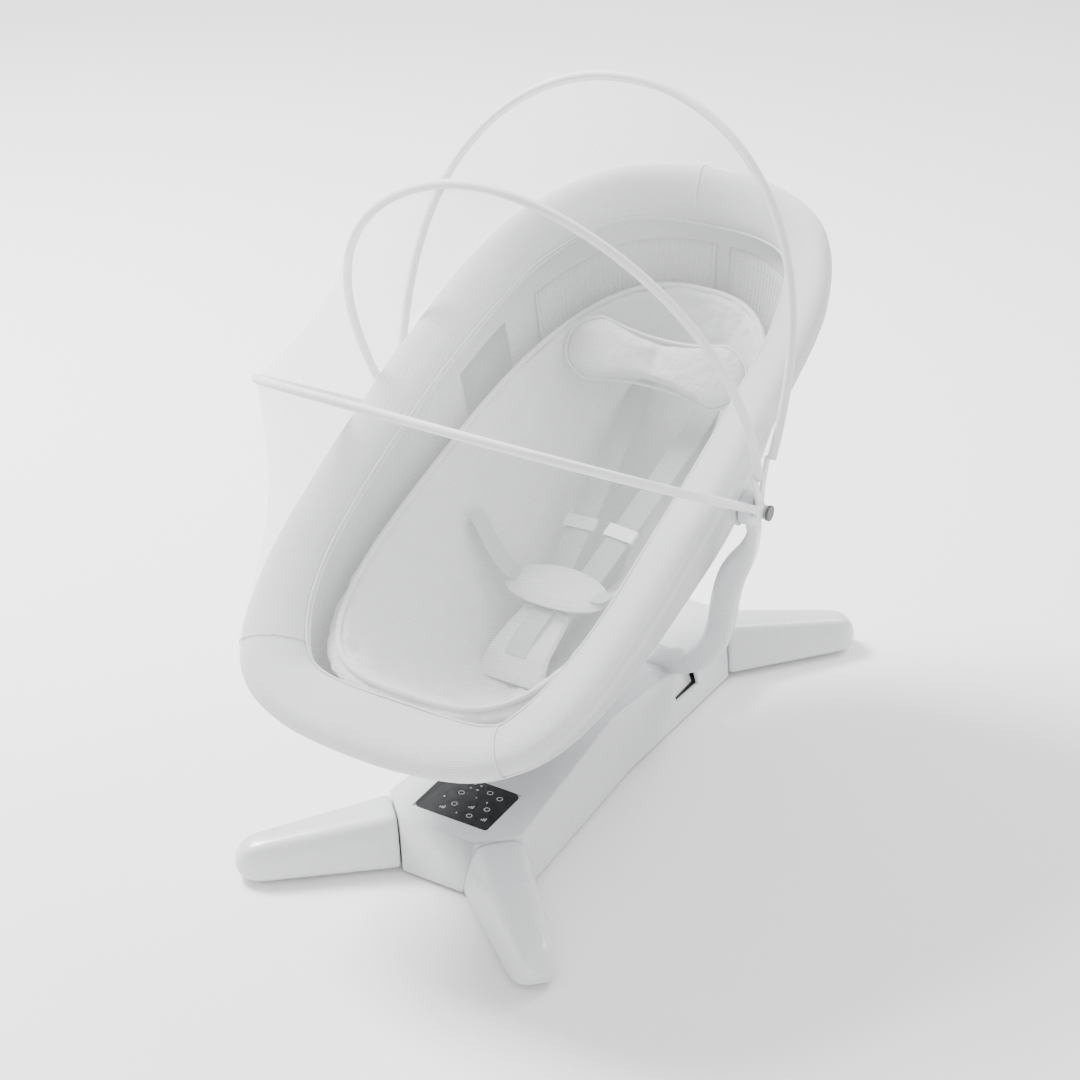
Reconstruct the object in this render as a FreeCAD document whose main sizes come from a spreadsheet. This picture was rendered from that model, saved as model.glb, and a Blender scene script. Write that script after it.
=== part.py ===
import FreeCAD, Part
import math
import os

import Sketcher
from FreeCAD import Placement, Rotation, Vector

# Baby swing.  A low four-legged base carries a U-shaped yoke that swings from side to side.
# The seat hangs from two pivots at the yoke's tips, reclines on them, and carries a hood of
# three hoops that fans open and shut about the same axis.
# Frame: +Z up, +Y towards the baby's head, +X to the right seen from the foot end.
# The origin is on the floor, under the middle of the whole object.  Millimetres and degrees.

doc = FreeCAD.newDocument("BabySwing")
sheet = doc.addObject("Spreadsheet::Sheet", "Sizes")


class Dim:
    """A size with its number and the sheet expression that gives it."""

    def __init__(self, value, text):
        self.value = float(value)
        self.text = text

    def _join(self, other, sign, value):
        return Dim(value, "(%s %s %s)" % (self.text, sign, other.text))

    def __add__(self, other):
        other = dim(other)
        return self._join(other, "+", self.value + other.value)

    def __sub__(self, other):
        other = dim(other)
        return self._join(other, "-", self.value - other.value)

    def __mul__(self, other):
        other = dim(other)
        return self._join(other, "*", self.value * other.value)

    def __truediv__(self, other):
        other = dim(other)
        return self._join(other, "/", self.value / other.value)

    def __radd__(self, other):
        return dim(other) + self

    def __rsub__(self, other):
        return dim(other) - self

    def __rmul__(self, other):
        return dim(other) * self

    def __neg__(self):
        return Dim(-self.value, "(0 - %s)" % self.text)


def dim(value):
    """Return value as a Dim, so that plain numbers and sheet sizes mix."""
    return value if isinstance(value, Dim) else Dim(value, repr(float(value)))


def num(value):
    """Return the plain number of a Dim or a number."""
    return value.value if isinstance(value, Dim) else float(value)


SIZES = {
    # where the sub-assemblies stand
    "base_y": (20.6, "middle of the base, along Y"),
    "pivot_y": (26.6, "seat and hood pivot axis, along Y"),
    "pivot_z": (361, "seat and hood pivot axis, above the floor"),
    "gap": (0.3, "clearance round a fitted piece"),
    # base shell
    "shell_z": (4, "underside of the base shell"),
    "shell_top": (62, "top of the base shell"),
    "shell_wall": (3.5, "wall of the base shell"),
    "hub_x": (89, "half width of a hub at its foot"),
    "hub_top_x": (79, "half width of a hub at its top"),
    "spine_x": (80, "half width of the spine at its foot"),
    "spine_top_x": (57, "half width of the spine at its top"),
    "seam_x": (62, "middle of a leg seam, along X"),
    "seam_y": (247, "middle of a leg seam, along Y"),
    # legs
    "leg_length": (126, "seam to the start of the rounded tip"),
    "leg_tip": (19, "length of the rounded tip"),
    "leg_root_w": (76, "width of a leg's foot at the seam"),
    "leg_root_top": (48, "width of a leg's top at the seam"),
    "leg_end_w": (50, "width of a leg's foot at its end"),
    "leg_end_top": (30, "width of a leg's top at its end"),
    "leg_end_h": (40, "height of a leg at its end"),
    "leg_z": (3, "underside of a leg, on its foot pad"),
    "leg_round": (5, "rounding of a leg's top edges"),
    # panel, electronics and drive
    "panel_w": (88, "touch panel width"),
    "panel_d": (70, "touch panel depth"),
    "panel_t": (2, "touch panel thickness"),
    "panel_y": (205, "panel middle in front of the base's middle"),
    "panel_r": (9, "touch panel corner radius"),
    "cover_t": (2.5, "bottom cover thickness"),
    "cover_gap": (1, "gap between bottom cover and shell"),
    "swing_z": (36, "swing shaft above the floor"),
    "shaft_r": (8, "swing shaft radius"),
    "bearing_gap": (0.05, "radial running clearance of a shaft"),
    "yoke_y": (135, "yoke foot behind the base's middle"),
    "slot_l": (48, "length of the yoke's slot in the spine"),
    "slot_gap": (1.5, "gap at each side of the yoke's foot"),
    "gear_module": (1.25, "tooth module"),
    "pinion_teeth": (12, "teeth of the drive pinion"),
    "sector_teeth": (36, "teeth of the sector gear if it were whole"),
    "gear_w": (8, "face width of the gears"),
    "backlash": (0.4, "play between the teeth"),
    "motor_r": (14, "drive motor radius"),
    "motor_l": (46, "drive motor length"),
    "motor_shaft_r": (2.5, "drive motor shaft radius"),
    "inlet_r": (2.8, "power inlet bore radius"),
    "inlet_z": (22, "power inlet above the floor"),
    "inlet_l": (10, "power inlet bore depth"),
    # yoke
    "arm_w": (30, "yoke band width, in the plane of the U"),
    "arm_t": (24, "yoke band depth"),
    "foot_rise": (54, "lowest point of the U's middle line, above the floor"),
    "saddle_x": (66, "half width of the yoke's foot"),
    "arm_clear": (15, "rim's middle line to the inner face of the pivot boss"),
    "boss_t": (12, "thickness of the pivot boss"),
    "boss_r": (17, "radius of the pivot boss"),
    "pin_r": (4, "pivot pin radius"),
    # seat
    "tube_r": (8, "rim tube radius"),
    "pad_t": (36, "thickness of the padded rim"),
    "bracket_t": (6, "side bracket thickness"),
    "bracket_w": (40, "side bracket width"),
    "bowl_wall": (4, "bowl fabric and foam thickness"),
    "mat_t": (24, "mattress thickness"),
    "web_w": (28, "strap width"),
    "web_t": (2, "strap thickness"),
    "harness_z": (-156, "height of the buckle from the pivot"),
    "harness_y": (-26, "place of the buckle from the pivot"),
    "harness_lean": (11.3, "lean of the harness, degrees"),
    # hood
    "hoop_r": (4, "hoop tube radius"),
    "tab_t": (3, "thickness of a hoop's end tab"),
    "tab_pitch": (3.4, "one end tab to the next"),
    "tab_l": (56, "pivot to the end of a tab"),
    "tab_w": (14, "width of a tab"),
    "net_t": (0.8, "net thickness in the model"),
    "net_gap": (6, "net edge to the middle of a hoop"),
}

# The padded rim: middle of the section from the pivot (x, y, z), its width and its tilt.
RIM = {
    "foot": (0, -357, -129, 85, 0),
    "toe": (100, -354, -121, 75, 2),
    "corner": (149, -322, -97, 67, 12),
    "hip": (176, -239, -48, 55, 21),
    "waist": (184, -98, 21, 54, 24),
    "arm": (182, 58, 89, 57, 32),
    "shoulder": (166, 189, 139, 60, 46),
    "crown": (110, 292, 169, 58, 74),
    "head": (0, 328, 174, 65, 85),
}
# Level rings of a bowl from its mouth down: half width, foot (y, z) and head (y, z).
BOWL = {
    "mouth": (188, -364, -99, 332, 204),
    "upper": (160, -324, -161, 324, 54),
    "middle": (130, -268, -221, 286, -61),
    "lower": (85, -191, -261, 194, -161),
    "floor": (30, -116, -273, 84, -226),
}
MAT = {
    "upper": (150, -312, -133, 306, 67),
    "middle": (125, -268, -176, 274, -31),
    "lower": (88, -196, -211, 199, -126),
    "floor": (40, -121, -226, 84, -191),
}
# The hoops: angle from the foot end, apex radius, squareness and bulge.
HOOPS = {
    "rear": (106.9, 391, 2.27, 0.132),
    "middle": (64.9, 390, 2.05, 0.148),
    "front": (30.4, 374, 3.41, 0.091),
}
for place, row in RIM.items():
    for word, value in zip(("x", "y", "z", "w", "tilt"), row):
        SIZES["rim_%s_%s" % (place, word)] = (value, "rim section at the " + place)
for name, rings in (("bowl", BOWL), ("mat", MAT)):
    for place, row in rings.items():
        for word, value in zip(("x", "foot_y", "foot_z", "head_y", "head_z"), row):
            SIZES["%s_%s_%s" % (name, place, word)] = (value, "%s ring, %s" % (name, place))
for place, row in HOOPS.items():
    for word, value in zip(("angle", "rise", "square", "bulge"), row):
        SIZES["hoop_%s_%s" % (place, word)] = (value, "%s hoop" % place)


class Sheet:
    """The spreadsheet's sizes, read back by name."""


S = Sheet()
for row_number, (alias, (value, note)) in enumerate(SIZES.items(), start=1):
    sheet.set("A%d" % row_number, alias)
    sheet.set("B%d" % row_number, str(value))
    sheet.set("C%d" % row_number, note)
    sheet.setAlias("B%d" % row_number, alias)
doc.recompute()
for alias in SIZES:
    setattr(S, alias, Dim(float(sheet.get(alias)), "Sizes." + alias))
# the pivot bosses stand just outside the rim, so they follow its width there
S.boss_in = (S.rim_waist_x + S.rim_arm_x) / 2 + S.arm_clear

BASE = (0, S.base_y, 0)
PIVOT = (0, S.pivot_y, S.pivot_z)
NODES = []


def bind(obj, prop, size):
    """Set a property and tie it to the sheet."""
    obj.setExpression(prop, dim(size).text)


def place(obj, spot, turn=None):
    """Put an object at a spot given in Dims, turned about the spot."""
    obj.Placement = Placement(Vector(*[num(v) for v in spot]), turn or Rotation())
    for axis, size in zip("xyz", spot):
        bind(obj, "Placement.Base." + axis, size)
    return obj


def offset(spot, dx=0, dy=0, dz=0):
    """Return the spot moved by three sizes."""
    return (spot[0] + dim(dx), spot[1] + dim(dy), spot[2] + dim(dz))


def keep(label, obj):
    """Name a finished piece and list it for export."""
    obj.Label = label
    NODES.append(obj)
    return obj


def box(name, spot, lx, ly, lz, turn=None):
    """A box whose spot is the middle of its own underside."""
    obj = doc.addObject("Part::Box", name)
    for prop, size in (("Length", lx), ("Width", ly), ("Height", lz)):
        bind(obj, prop, size)
    turn = turn or Rotation()
    corner = turn.multVec(Vector(-num(lx) / 2, -num(ly) / 2, 0))
    if turn.isIdentity():
        return place(obj, offset(spot, -(dim(lx) / 2), -(dim(ly) / 2), 0))
    return place(obj, offset(spot, corner.x, corner.y, corner.z), turn)


def rod(name, spot, radius, length, along="Z"):
    """A cylinder from a spot along an axis."""
    obj = doc.addObject("Part::Cylinder", name)
    bind(obj, "Radius", radius)
    bind(obj, "Height", length)
    turns = {"X": Rotation(Vector(0, 1, 0), 90), "Y": Rotation(Vector(1, 0, 0), -90)}
    return place(obj, spot, turns.get(along))


def cut(name, base, tool):
    """Cut one object with another."""
    obj = doc.addObject("Part::Cut", name)
    obj.Base = base
    obj.Tool = tool
    return obj


def fuse(name, parts):
    """Join objects into one solid."""
    obj = doc.addObject("Part::MultiFuse", name)
    obj.Shapes = parts
    return obj


def group(name, parts):
    """Hold identical separate solids as one piece."""
    obj = doc.addObject("Part::Compound", name)
    obj.Links = parts
    return obj


def feature(name, shape, spot):
    """A free-form solid made from sheet sizes, then put in its place."""
    obj = doc.addObject("Part::Feature", name)
    obj.Shape = shape
    return place(obj, spot)


def body(name, spot, turn=None):
    """A PartDesign body at a spot."""
    return place(doc.addObject("PartDesign::Body", name), spot, turn)


def sketch(owner, role, level=0):
    """A sketch on one of the body's own origin planes, raised by a level."""
    obj = owner.newObject("Sketcher::SketchObject", owner.Name + "Sketch")
    plane = [p for p in owner.Origin.OriginFeatures if p.Role == role][0]
    obj.AttachmentSupport = [(plane, "")]
    obj.MapMode = "FlatFace"
    obj.AttachmentOffset = Placement(Vector(0, 0, num(level)), Rotation())
    bind(obj, "AttachmentOffset.Base.z", level)
    return obj


def pin_point(obj, geo, point, x, y):
    """Tie a sketch point to sheet sizes measured from the sketch's origin."""
    for kind, size, axis in (("DistanceX", dim(x), -2), ("DistanceY", dim(y), -1)):
        if abs(size.value) < 1e-9:
            obj.addConstraint(Sketcher.Constraint("PointOnObject", geo, point, axis))
            continue
        ends = (-1, 1, geo, point) if size.value > 0 else (geo, point, -1, 1)
        index = obj.addConstraint(Sketcher.Constraint(kind, *ends, abs(size.value)))
        bind(obj, "Constraints[%d]" % index, size if size.value > 0 else -size)


def outline(obj, points):
    """A closed straight-sided outline through points given in Dims."""
    count = len(points)
    for i, start in enumerate(points):
        end = points[(i + 1) % count]
        line = [Vector(num(p[0]), num(p[1]), 0) for p in (start, end)]
        obj.addGeometry(Part.LineSegment(*line), False)
    for i, start in enumerate(points):
        obj.addConstraint(Sketcher.Constraint("Coincident", (i - 1) % count, 2, i, 1))
        pin_point(obj, i, 1, start[0], start[1])
    return obj


def ring(obj, x, y, radius):
    """A circle tied to sheet sizes."""
    geo = obj.addGeometry(Part.Circle(Vector(num(x), num(y), 0), Vector(0, 0, 1), num(radius)))
    pin_point(obj, geo, 3, x, y)
    index = obj.addConstraint(Sketcher.Constraint("Radius", geo, num(radius)))
    bind(obj, "Constraints[%d]" % index, radius)
    return obj


def block(x, y):
    """Four corners of a rectangle with these half sizes."""
    return [(-dim(x), -dim(y)), (dim(x), -dim(y)), (dim(x), dim(y)), (-dim(x), dim(y))]


def pad(owner, profile, length, kind="PartDesign::Pad"):
    """Pad a sketch up, or pocket it down, by a length."""
    obj = owner.newObject(kind, owner.Name + "Pad")
    obj.Profile = profile
    bind(obj, "Length", length)
    return obj


def loft(owner, sketches, kind="PartDesign::AdditiveLoft"):
    """Loft through sketches with straight sides."""
    obj = owner.newObject(kind, owner.Name + "Loft")
    obj.Profile = sketches[0]
    obj.Sections = sketches[1:]
    obj.Ruled = True
    return obj


def smooth_loop(points):
    """A closed smooth wire through points."""
    curve = Part.BSplineCurve()
    curve.interpolate(Points=points, PeriodicFlag=True)
    return Part.Wire(curve.toShape())


def smooth_path(points):
    """An open smooth wire through points."""
    curve = Part.BSplineCurve()
    curve.interpolate(Points=points)
    return Part.Wire(curve.toShape())


def swept(path, section):
    """A solid swept along a path, its section starting square to it."""
    return path.makePipeShell([section], True, False)


def circle_at(path, radius):
    """A round section square to the start of a path."""
    edge = path.Edges[0]
    start = edge.valueAt(edge.FirstParameter)
    along = edge.tangentAt(edge.FirstParameter)
    return Part.Wire(Part.makeCircle(radius, start, along))


# ---------------------------------------------------------------- base shell and legs
def hub_outline(front_x, front_y, hub_x, hub_y, waist_x):
    """Half outline points of the base in plan, mirrored to a closed outline."""
    right = [(front_x, -front_y), (hub_x, -hub_y), (waist_x, 0), (hub_x, hub_y), (front_x, front_y)]
    return right + [(-dim(x), y) for x, y in reversed(right)]


def shell_outline(inset, top):
    """Outline of the base at its foot or its top, moved in by an inset."""
    half = (S.leg_root_top if top else S.leg_root_w) * 0.35355
    waist = S.spine_top_x if top else S.spine_x
    return hub_outline(
        S.seam_x - half, S.seam_y + half - inset, S.seam_x + half - inset,
        S.seam_y - half, waist - inset,
    )


shell = body("BaseShell", BASE)
foot_edge = outline(sketch(shell, "XY_Plane", S.shell_z), shell_outline(dim(0), False))
top_edge = outline(sketch(shell, "XY_Plane", S.shell_top), shell_outline(dim(0), True))
loft(shell, [foot_edge, top_edge])
inner_foot = outline(sketch(shell, "XY_Plane", S.shell_z - 0.1), shell_outline(S.shell_wall, False))
inner_top = outline(
    sketch(shell, "XY_Plane", S.shell_top - S.shell_wall - 0.5), shell_outline(S.shell_wall, True)
)
loft(shell, [inner_foot, inner_top], "PartDesign::SubtractiveLoft")
# recess for the touch panel
recess = sketch(shell, "XY_Plane", S.shell_top)
outline(recess, [(x, y - S.panel_y) for x, y in block(S.panel_w / 2 + S.gap, S.panel_d / 2 + S.gap)])
pad(shell, recess, S.panel_t + 0.1, "PartDesign::Pocket")
# slot for the yoke's foot
slot = sketch(shell, "XY_Plane", S.shell_top)
outline(slot, [(x, y + S.yoke_y) for x, y in block(S.spine_x + 20, S.slot_l / 2)])
pad(shell, slot, S.shell_top - 26, "PartDesign::Pocket")
# hole for the power inlet in the rear wall
inlet_hole = sketch(shell, "XZ_Plane", 0)
ring(inlet_hole, 0, S.inlet_z, S.inlet_r + 4 + S.gap)
inlet_cut = pad(shell, inlet_hole, S.seam_y + 60, "PartDesign::Pocket")
inlet_cut.Reversed = False
keep("base_shell", shell)

cover = body("BaseCover", offset(BASE, 0, 0, S.shell_z))
edge = outline(sketch(cover, "XY_Plane"), shell_outline(S.shell_wall + S.cover_gap + 3, False))
pad(cover, edge, S.cover_t)
keep("base_cover", cover)

CORNERS = {
    "front_left": (-1, -1, 135),
    "front_right": (1, -1, -135),
    "rear_left": (-1, 1, 45),
    "rear_right": (1, 1, -45),
}


def leg_section(owner, level, foot_w, top_w, top_z):
    """A leg's cross section: flat foot, sloping sides, narrower top."""
    low = S.leg_z
    mid_w = (foot_w + top_w) / 2 + 4
    mid_z = low + (top_z - low) * 0.6
    right = [(foot_w / 2 - 3, low), (foot_w / 2, low + 4), (mid_w / 2, mid_z), (top_w / 2, top_z)]
    points = right + [(-x, z) for x, z in reversed(right)]
    return outline(sketch(owner, "XZ_Plane", -level), points)


for corner, (side, end, turn) in CORNERS.items():
    spot = offset(BASE, S.seam_x * side, S.seam_y * end, 0)
    leg = body("Leg_" + corner, spot, Rotation(Vector(0, 0, 1), turn))
    root = leg_section(leg, dim(0.3), S.leg_root_w, S.leg_root_top, S.shell_top)
    tip = leg_section(leg, S.leg_length, S.leg_end_w, S.leg_end_top, S.leg_end_h)
    nose = leg_section(
        leg, S.leg_length + S.leg_tip, S.leg_end_w - 20, S.leg_end_top - 12, S.leg_end_h - 12
    )
    loft(leg, [root, tip, nose])
    keep(corner + "_leg", leg)

DIAGONAL = math.sqrt(0.5)
foot_pads = []
leg_screws = []
for corner, (side, end, turn) in CORNERS.items():
    reach = (S.leg_length - 14) * DIAGONAL
    spot = offset(BASE, (S.seam_x + reach) * side, (S.seam_y + reach) * end, 0)
    foot_pads.append(rod("FootPad_" + corner, spot, 13, S.leg_z))
    for across in (-14, 14):
        near = offset(
            BASE, (S.seam_x + 10 + across * DIAGONAL) * side,
            (S.seam_y + 10 - across * DIAGONAL) * end, S.leg_z - 2,
        )
        leg_screws.append(rod("LegScrew_%s_%d" % (corner, across + 14), near, 4, 2))
keep("foot_pads", group("FootPads", foot_pads))
keep("leg_screws", group("LegScrews", leg_screws))

cover_screws = []
for side in (-1, 1):
    for along in (-190, 0, 190):
        spot = offset(BASE, 52 * side, along, S.shell_z - 2)
        cover_screws.append(rod("CoverScrew_%d_%d" % (side + 1, along + 190), spot, 4, 2))
keep("cover_screws", group("CoverScrews", cover_screws))

# ---------------------------------------------------------------- panel and electronics
panel = body("TouchPanel", offset(BASE, 0, -S.panel_y, S.shell_top - S.panel_t))
panel_face = outline(sketch(panel, "XY_Plane"), block(S.panel_w / 2, S.panel_d / 2))
plain_panel = pad(panel, panel_face, S.panel_t)
doc.recompute()
corner_edges = [
    "Edge%d" % (i + 1) for i, e in enumerate(panel.Shape.Edges)
    if abs(e.Vertexes[0].Z - e.Vertexes[-1].Z) > num(S.panel_t) / 2
]
rounding = panel.newObject("PartDesign::Fillet", "PanelCorners")
rounding.Base = (plain_panel, corner_edges)
bind(rounding, "Radius", S.panel_r)
panel.Tip = rounding
keep("touch_panel", panel)

under_panel = offset(BASE, 0, -S.panel_y, S.shell_top - S.shell_wall - 5)
keep("panel_board", box("PanelBoard", under_panel, S.panel_w - 14, S.panel_d - 16, 1.6))
keep("control_board", box("ControlBoard", offset(BASE, 0, -40, 14), 70, 110, 1.6))
keep("speaker", rod("Speaker", offset(BASE, 0, -130, 12), 20, 14))

shaft_y = S.yoke_y - S.slot_l / 2 - 16
shaft_l = S.slot_l + 54
swing_axis = offset(BASE, 0, shaft_y, S.swing_z)
bearings = []
for name, start in (("Front", S.yoke_y - S.slot_l / 2 - 13), ("Rear", S.yoke_y + S.slot_l / 2 + 2)):
    spot = offset(BASE, 0, start + 5, S.shell_z + S.cover_t + S.gap)
    block_solid = box("BearingBlock" + name, spot, 40, 10, S.swing_z + 14 - spot[2])
    bore = rod("Bore" + name, offset(BASE, 0, start - 1, S.swing_z), S.shaft_r + S.bearing_gap, 12, "Y")
    bearings.append(cut("Bearing" + name, block_solid, bore))
keep("bearing_blocks", group("BearingBlocks", bearings))

gear_y = S.yoke_y + S.slot_l / 2 + 15
pitch_pinion = S.pinion_teeth * S.gear_module / 2
pitch_sector = S.sector_teeth * S.gear_module / 2
centre_gap = pitch_pinion + pitch_sector


def gear(name, spot, teeth, pitch, bore, count, turn):
    """A spur gear: a root disc with straight-flanked teeth patterned round it."""
    owner = body(name, spot, turn)
    disc = sketch(owner, "XZ_Plane")
    ring(disc, 0, 0, pitch - S.gear_module * 1.25)
    ring(disc, 0, 0, bore)
    pad(owner, disc, S.gear_w)
    half_root = S.gear_module * 0.8 - S.backlash / 4
    half_tip = S.gear_module * 0.36 - S.backlash / 4
    tooth = sketch(owner, "XZ_Plane")
    low = pitch - S.gear_module * 1.25 - 0.6
    high = pitch + S.gear_module * 0.8
    outline(tooth, [(low, -half_root), (high, -half_tip), (high, half_tip), (low, half_root)])
    tooth_pad = pad(owner, tooth, S.gear_w)
    pattern = owner.newObject("PartDesign::PolarPattern", name + "Teeth")
    pattern.Originals = [tooth_pad]
    pattern.Axis = (tooth, ["N_Axis"])
    pattern.Angle = 360.0 * (count - 1) / teeth if count < teeth else 360
    pattern.Occurrences = count
    owner.Tip = pattern
    return owner


pinion_spot = offset(BASE, -centre_gap, gear_y + S.gear_w, S.swing_z)
sector_spot = offset(BASE, 0, gear_y + S.gear_w, S.swing_z)
teeth_shown = 9
small_teeth = int(num(S.pinion_teeth))
large_teeth = int(num(S.sector_teeth))
pinion = gear("DrivePinion", pinion_spot, small_teeth, pitch_pinion, S.motor_shaft_r, small_teeth,
              Rotation(Vector(0, 1, 0), 180 / small_teeth))
keep("drive_pinion", pinion)
sector = gear("SectorGear", sector_spot, large_teeth, pitch_sector, S.shaft_r, teeth_shown,
              Rotation(Vector(0, 1, 0), 180 + 360 / large_teeth * (teeth_shown - 1) / 2))
keep("sector_gear", sector)

motor_spot = offset(BASE, -centre_gap, gear_y + S.gear_w + 5, S.swing_z)
motor = rod("MotorCan", motor_spot, S.motor_r, S.motor_l, "Y")
nose = rod("MotorShaft", offset(motor_spot, 0, -5 - S.gear_w, 0), S.motor_shaft_r - S.bearing_gap, S.gear_w + 6, "Y")
keep("drive_motor", fuse("DriveMotor", [motor, nose]))
plate_spot = offset(motor_spot, 0, 8, dim(0))
plate = box("MotorPlate", (plate_spot[0], plate_spot[1], S.shell_z + S.cover_t + S.gap), 38, 4,
            S.swing_z + 8 - S.shell_z - S.cover_t)
clamp_bore = rod("MotorBore", offset(motor_spot, 0, 4, 0), S.motor_r + S.bearing_gap, 8, "Y")
keep("motor_bracket", cut("MotorBracket", plate, clamp_bore))

inlet_spot = offset(BASE, 0, S.seam_y + 2, S.inlet_z)
inlet_can = rod("InletCan", inlet_spot, S.inlet_r + 4, 18, "Y")
inlet_bore = rod("InletBore", offset(inlet_spot, 0, 18 - S.inlet_l, 0), S.inlet_r, S.inlet_l + 1, "Y")
keep("power_inlet", cut("PowerInlet", inlet_can, inlet_bore))

# ---------------------------------------------------------------- yoke
back = num(S.base_y + S.yoke_y - S.pivot_y)
fall = num(S.pivot_z - S.foot_rise)
lean = math.atan2(back, fall)
drop = math.hypot(back, fall)
# The U's middle line in its leaning plane: distance out from the boss's inner face, and share
# of the drop from the pivot to the foot.
ARM_LINE = (
    (7, 0.006), (7, 0.066), (5, 0.114), (-8, 0.222), (-30, 0.353),
    (-46, 0.494), (-59, 0.644), (-77, 0.784), (-105, 0.898), (-148, 0.976),
)


def on_lean(x, down):
    """A point of the leaning plane that holds the U."""
    return Vector(x, down * math.sin(lean), -down * math.cos(lean))


arm_points = [on_lean(num(S.boss_in) + x, drop * share) for x, share in ARM_LINE]
mirrored = [Vector(-p.x, p.y, p.z) for p in arm_points]
arm_edge = smooth_path(mirrored + [on_lean(0, drop)] + arm_points[::-1]).Edges[0]
normal = Vector(0, math.cos(lean), math.sin(lean))
# an eighth of the band's rounded section, as shares of its half width and half depth
BAND_ROUND = ((1, 0.45), (0.86, 0.86), (0.45, 1))


def band_section(part):
    """The yoke band's section at a share of its length; it thins to the boss at both tips."""
    where = arm_edge.FirstParameter + (arm_edge.LastParameter - arm_edge.FirstParameter) * part
    middle = arm_edge.valueAt(where)
    across = arm_edge.tangentAt(where).cross(normal)
    down = Vector(0, middle.y, middle.z).Length
    share = min(max((down - 14) / (drop / 3), 0), 1)
    tip_w = num(S.boss_t) - 2.5
    half_w = (tip_w + (num(S.arm_w) - tip_w) * share * share * (3 - 2 * share)) / 2
    half_t = num(S.arm_t) / 2
    signs = ((1, 1, 1), (-1, 1, -1), (-1, -1, 1), (1, -1, -1))
    points = []
    for x_sign, y_sign, order in signs:
        for u, v in BAND_ROUND[::order]:
            points.append(middle + across * (u * x_sign * half_w) + normal * (v * y_sign * half_t))
    return smooth_loop(points)


band_steps = 20
band_solid = Part.makeLoft([band_section(i / band_steps) for i in range(band_steps + 1)], True, True)
band = feature("YokeBand", band_solid, PIVOT)
saddle = body("YokeSaddle", offset(BASE, 0, S.yoke_y, 0))
saddle_y = S.slot_l / 2 - S.slot_gap
low_edge = outline(sketch(saddle, "XY_Plane", S.swing_z + 4), block(S.saddle_x, saddle_y))
high_edge = outline(sketch(saddle, "XY_Plane", S.shell_top), block(S.spine_top_x, saddle_y))
loft(saddle, [low_edge, high_edge])
hub = rod("YokeHub", offset(BASE, 0, S.yoke_y - saddle_y, S.swing_z), S.shaft_r + 5, saddle_y * 2, "Y")
bosses = []
for side in (-1, 1):
    x = S.boss_in if side > 0 else -(S.boss_in + S.boss_t)
    bosses.append(rod("Boss%d" % side, offset(PIVOT, x, 0, 0), S.boss_r, S.boss_t, "X"))
yoke_solid = fuse("YokeSolid", [band, saddle, hub] + bosses)
shaft_hole = rod("ShaftHole", swing_axis, S.shaft_r, shaft_l, "Y")
pin_hole = rod("PinHole", offset(PIVOT, -S.boss_in - 30, 0, 0), S.pin_r + S.bearing_gap,
               S.boss_in * 2 + 60, "X")
keep("yoke", cut("Yoke", cut("YokeBored", yoke_solid, shaft_hole), pin_hole))
keep("swing_shaft", rod("SwingShaft", swing_axis, S.shaft_r, shaft_l, "Y"))

# ---------------------------------------------------------------- padded rim
class Station:
    """One cross section of the rim: its middle, and its width and thickness directions."""

    def __init__(self, where, side):
        read = lambda word: num(getattr(S, "rim_%s_%s" % (where, word)))
        self.middle = Vector(side * read("x"), read("y"), read("z"))
        self.width = read("w")
        self.tilt = math.radians(read("tilt"))
        self.out = Vector(0, 0, 0)
        self.up = Vector(0, 0, 0)

    def aim(self, before, after):
        """Set the directions from the neighbours on each side."""
        along = (after.middle - before.middle).normalize()
        level = along.cross(Vector(0, 0, 1)).normalize()
        rise = level.cross(along).normalize()
        self.out = level * math.cos(self.tilt) + rise * math.sin(self.tilt)
        self.up = rise * math.cos(self.tilt) - level * math.sin(self.tilt)

    def point(self, u, v, thick):
        """A point of the section, u across and v through, each from -1 to 1."""
        return self.middle + self.out * (u * self.width / 2) + self.up * (v * thick / 2)


right = [Station(where, 1) for where in RIM]
left = [Station(where, -1) for where in list(RIM)[-2:0:-1]]
stations = right + left
for i, station in enumerate(stations):
    station.aim(stations[i - 1], stations[(i + 1) % len(stations)])


def rim_half(width, thick, square=1.0):
    """The right half of a solid round the rim; a width of 0 keeps each section's own width."""
    sections = []
    for station in [left[-1]] + right + [left[0]]:
        around = []
        for angle in range(0, 360, 45):
            c, s = math.cos(math.radians(angle)), math.sin(math.radians(angle))
            u = math.copysign(abs(c) ** square, c) * (width / station.width if width else 1)
            around.append(station.point(u, math.copysign(abs(s) ** square, s), thick))
        sections.append(smooth_loop(around))
    whole = Part.makeLoft(sections, True)
    return whole.common(Part.makeBox(600, 1600, 1600, Vector(0, -800, -800)))


def both_sides(half):
    """Join a right half to its mirror image."""
    return half.fuse(half.mirror(Vector(0, 0, 0), Vector(1, 0, 0)))


tube_d = num(S.tube_r) * 2
rim_tube = both_sides(rim_half(tube_d, tube_d))
channel = rim_half(tube_d + 2 * num(S.gap), tube_d + 2 * num(S.gap))
padding_half = rim_half(0, num(S.pad_t), 0.85)
padding_solid = both_sides(padding_half)

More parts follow.
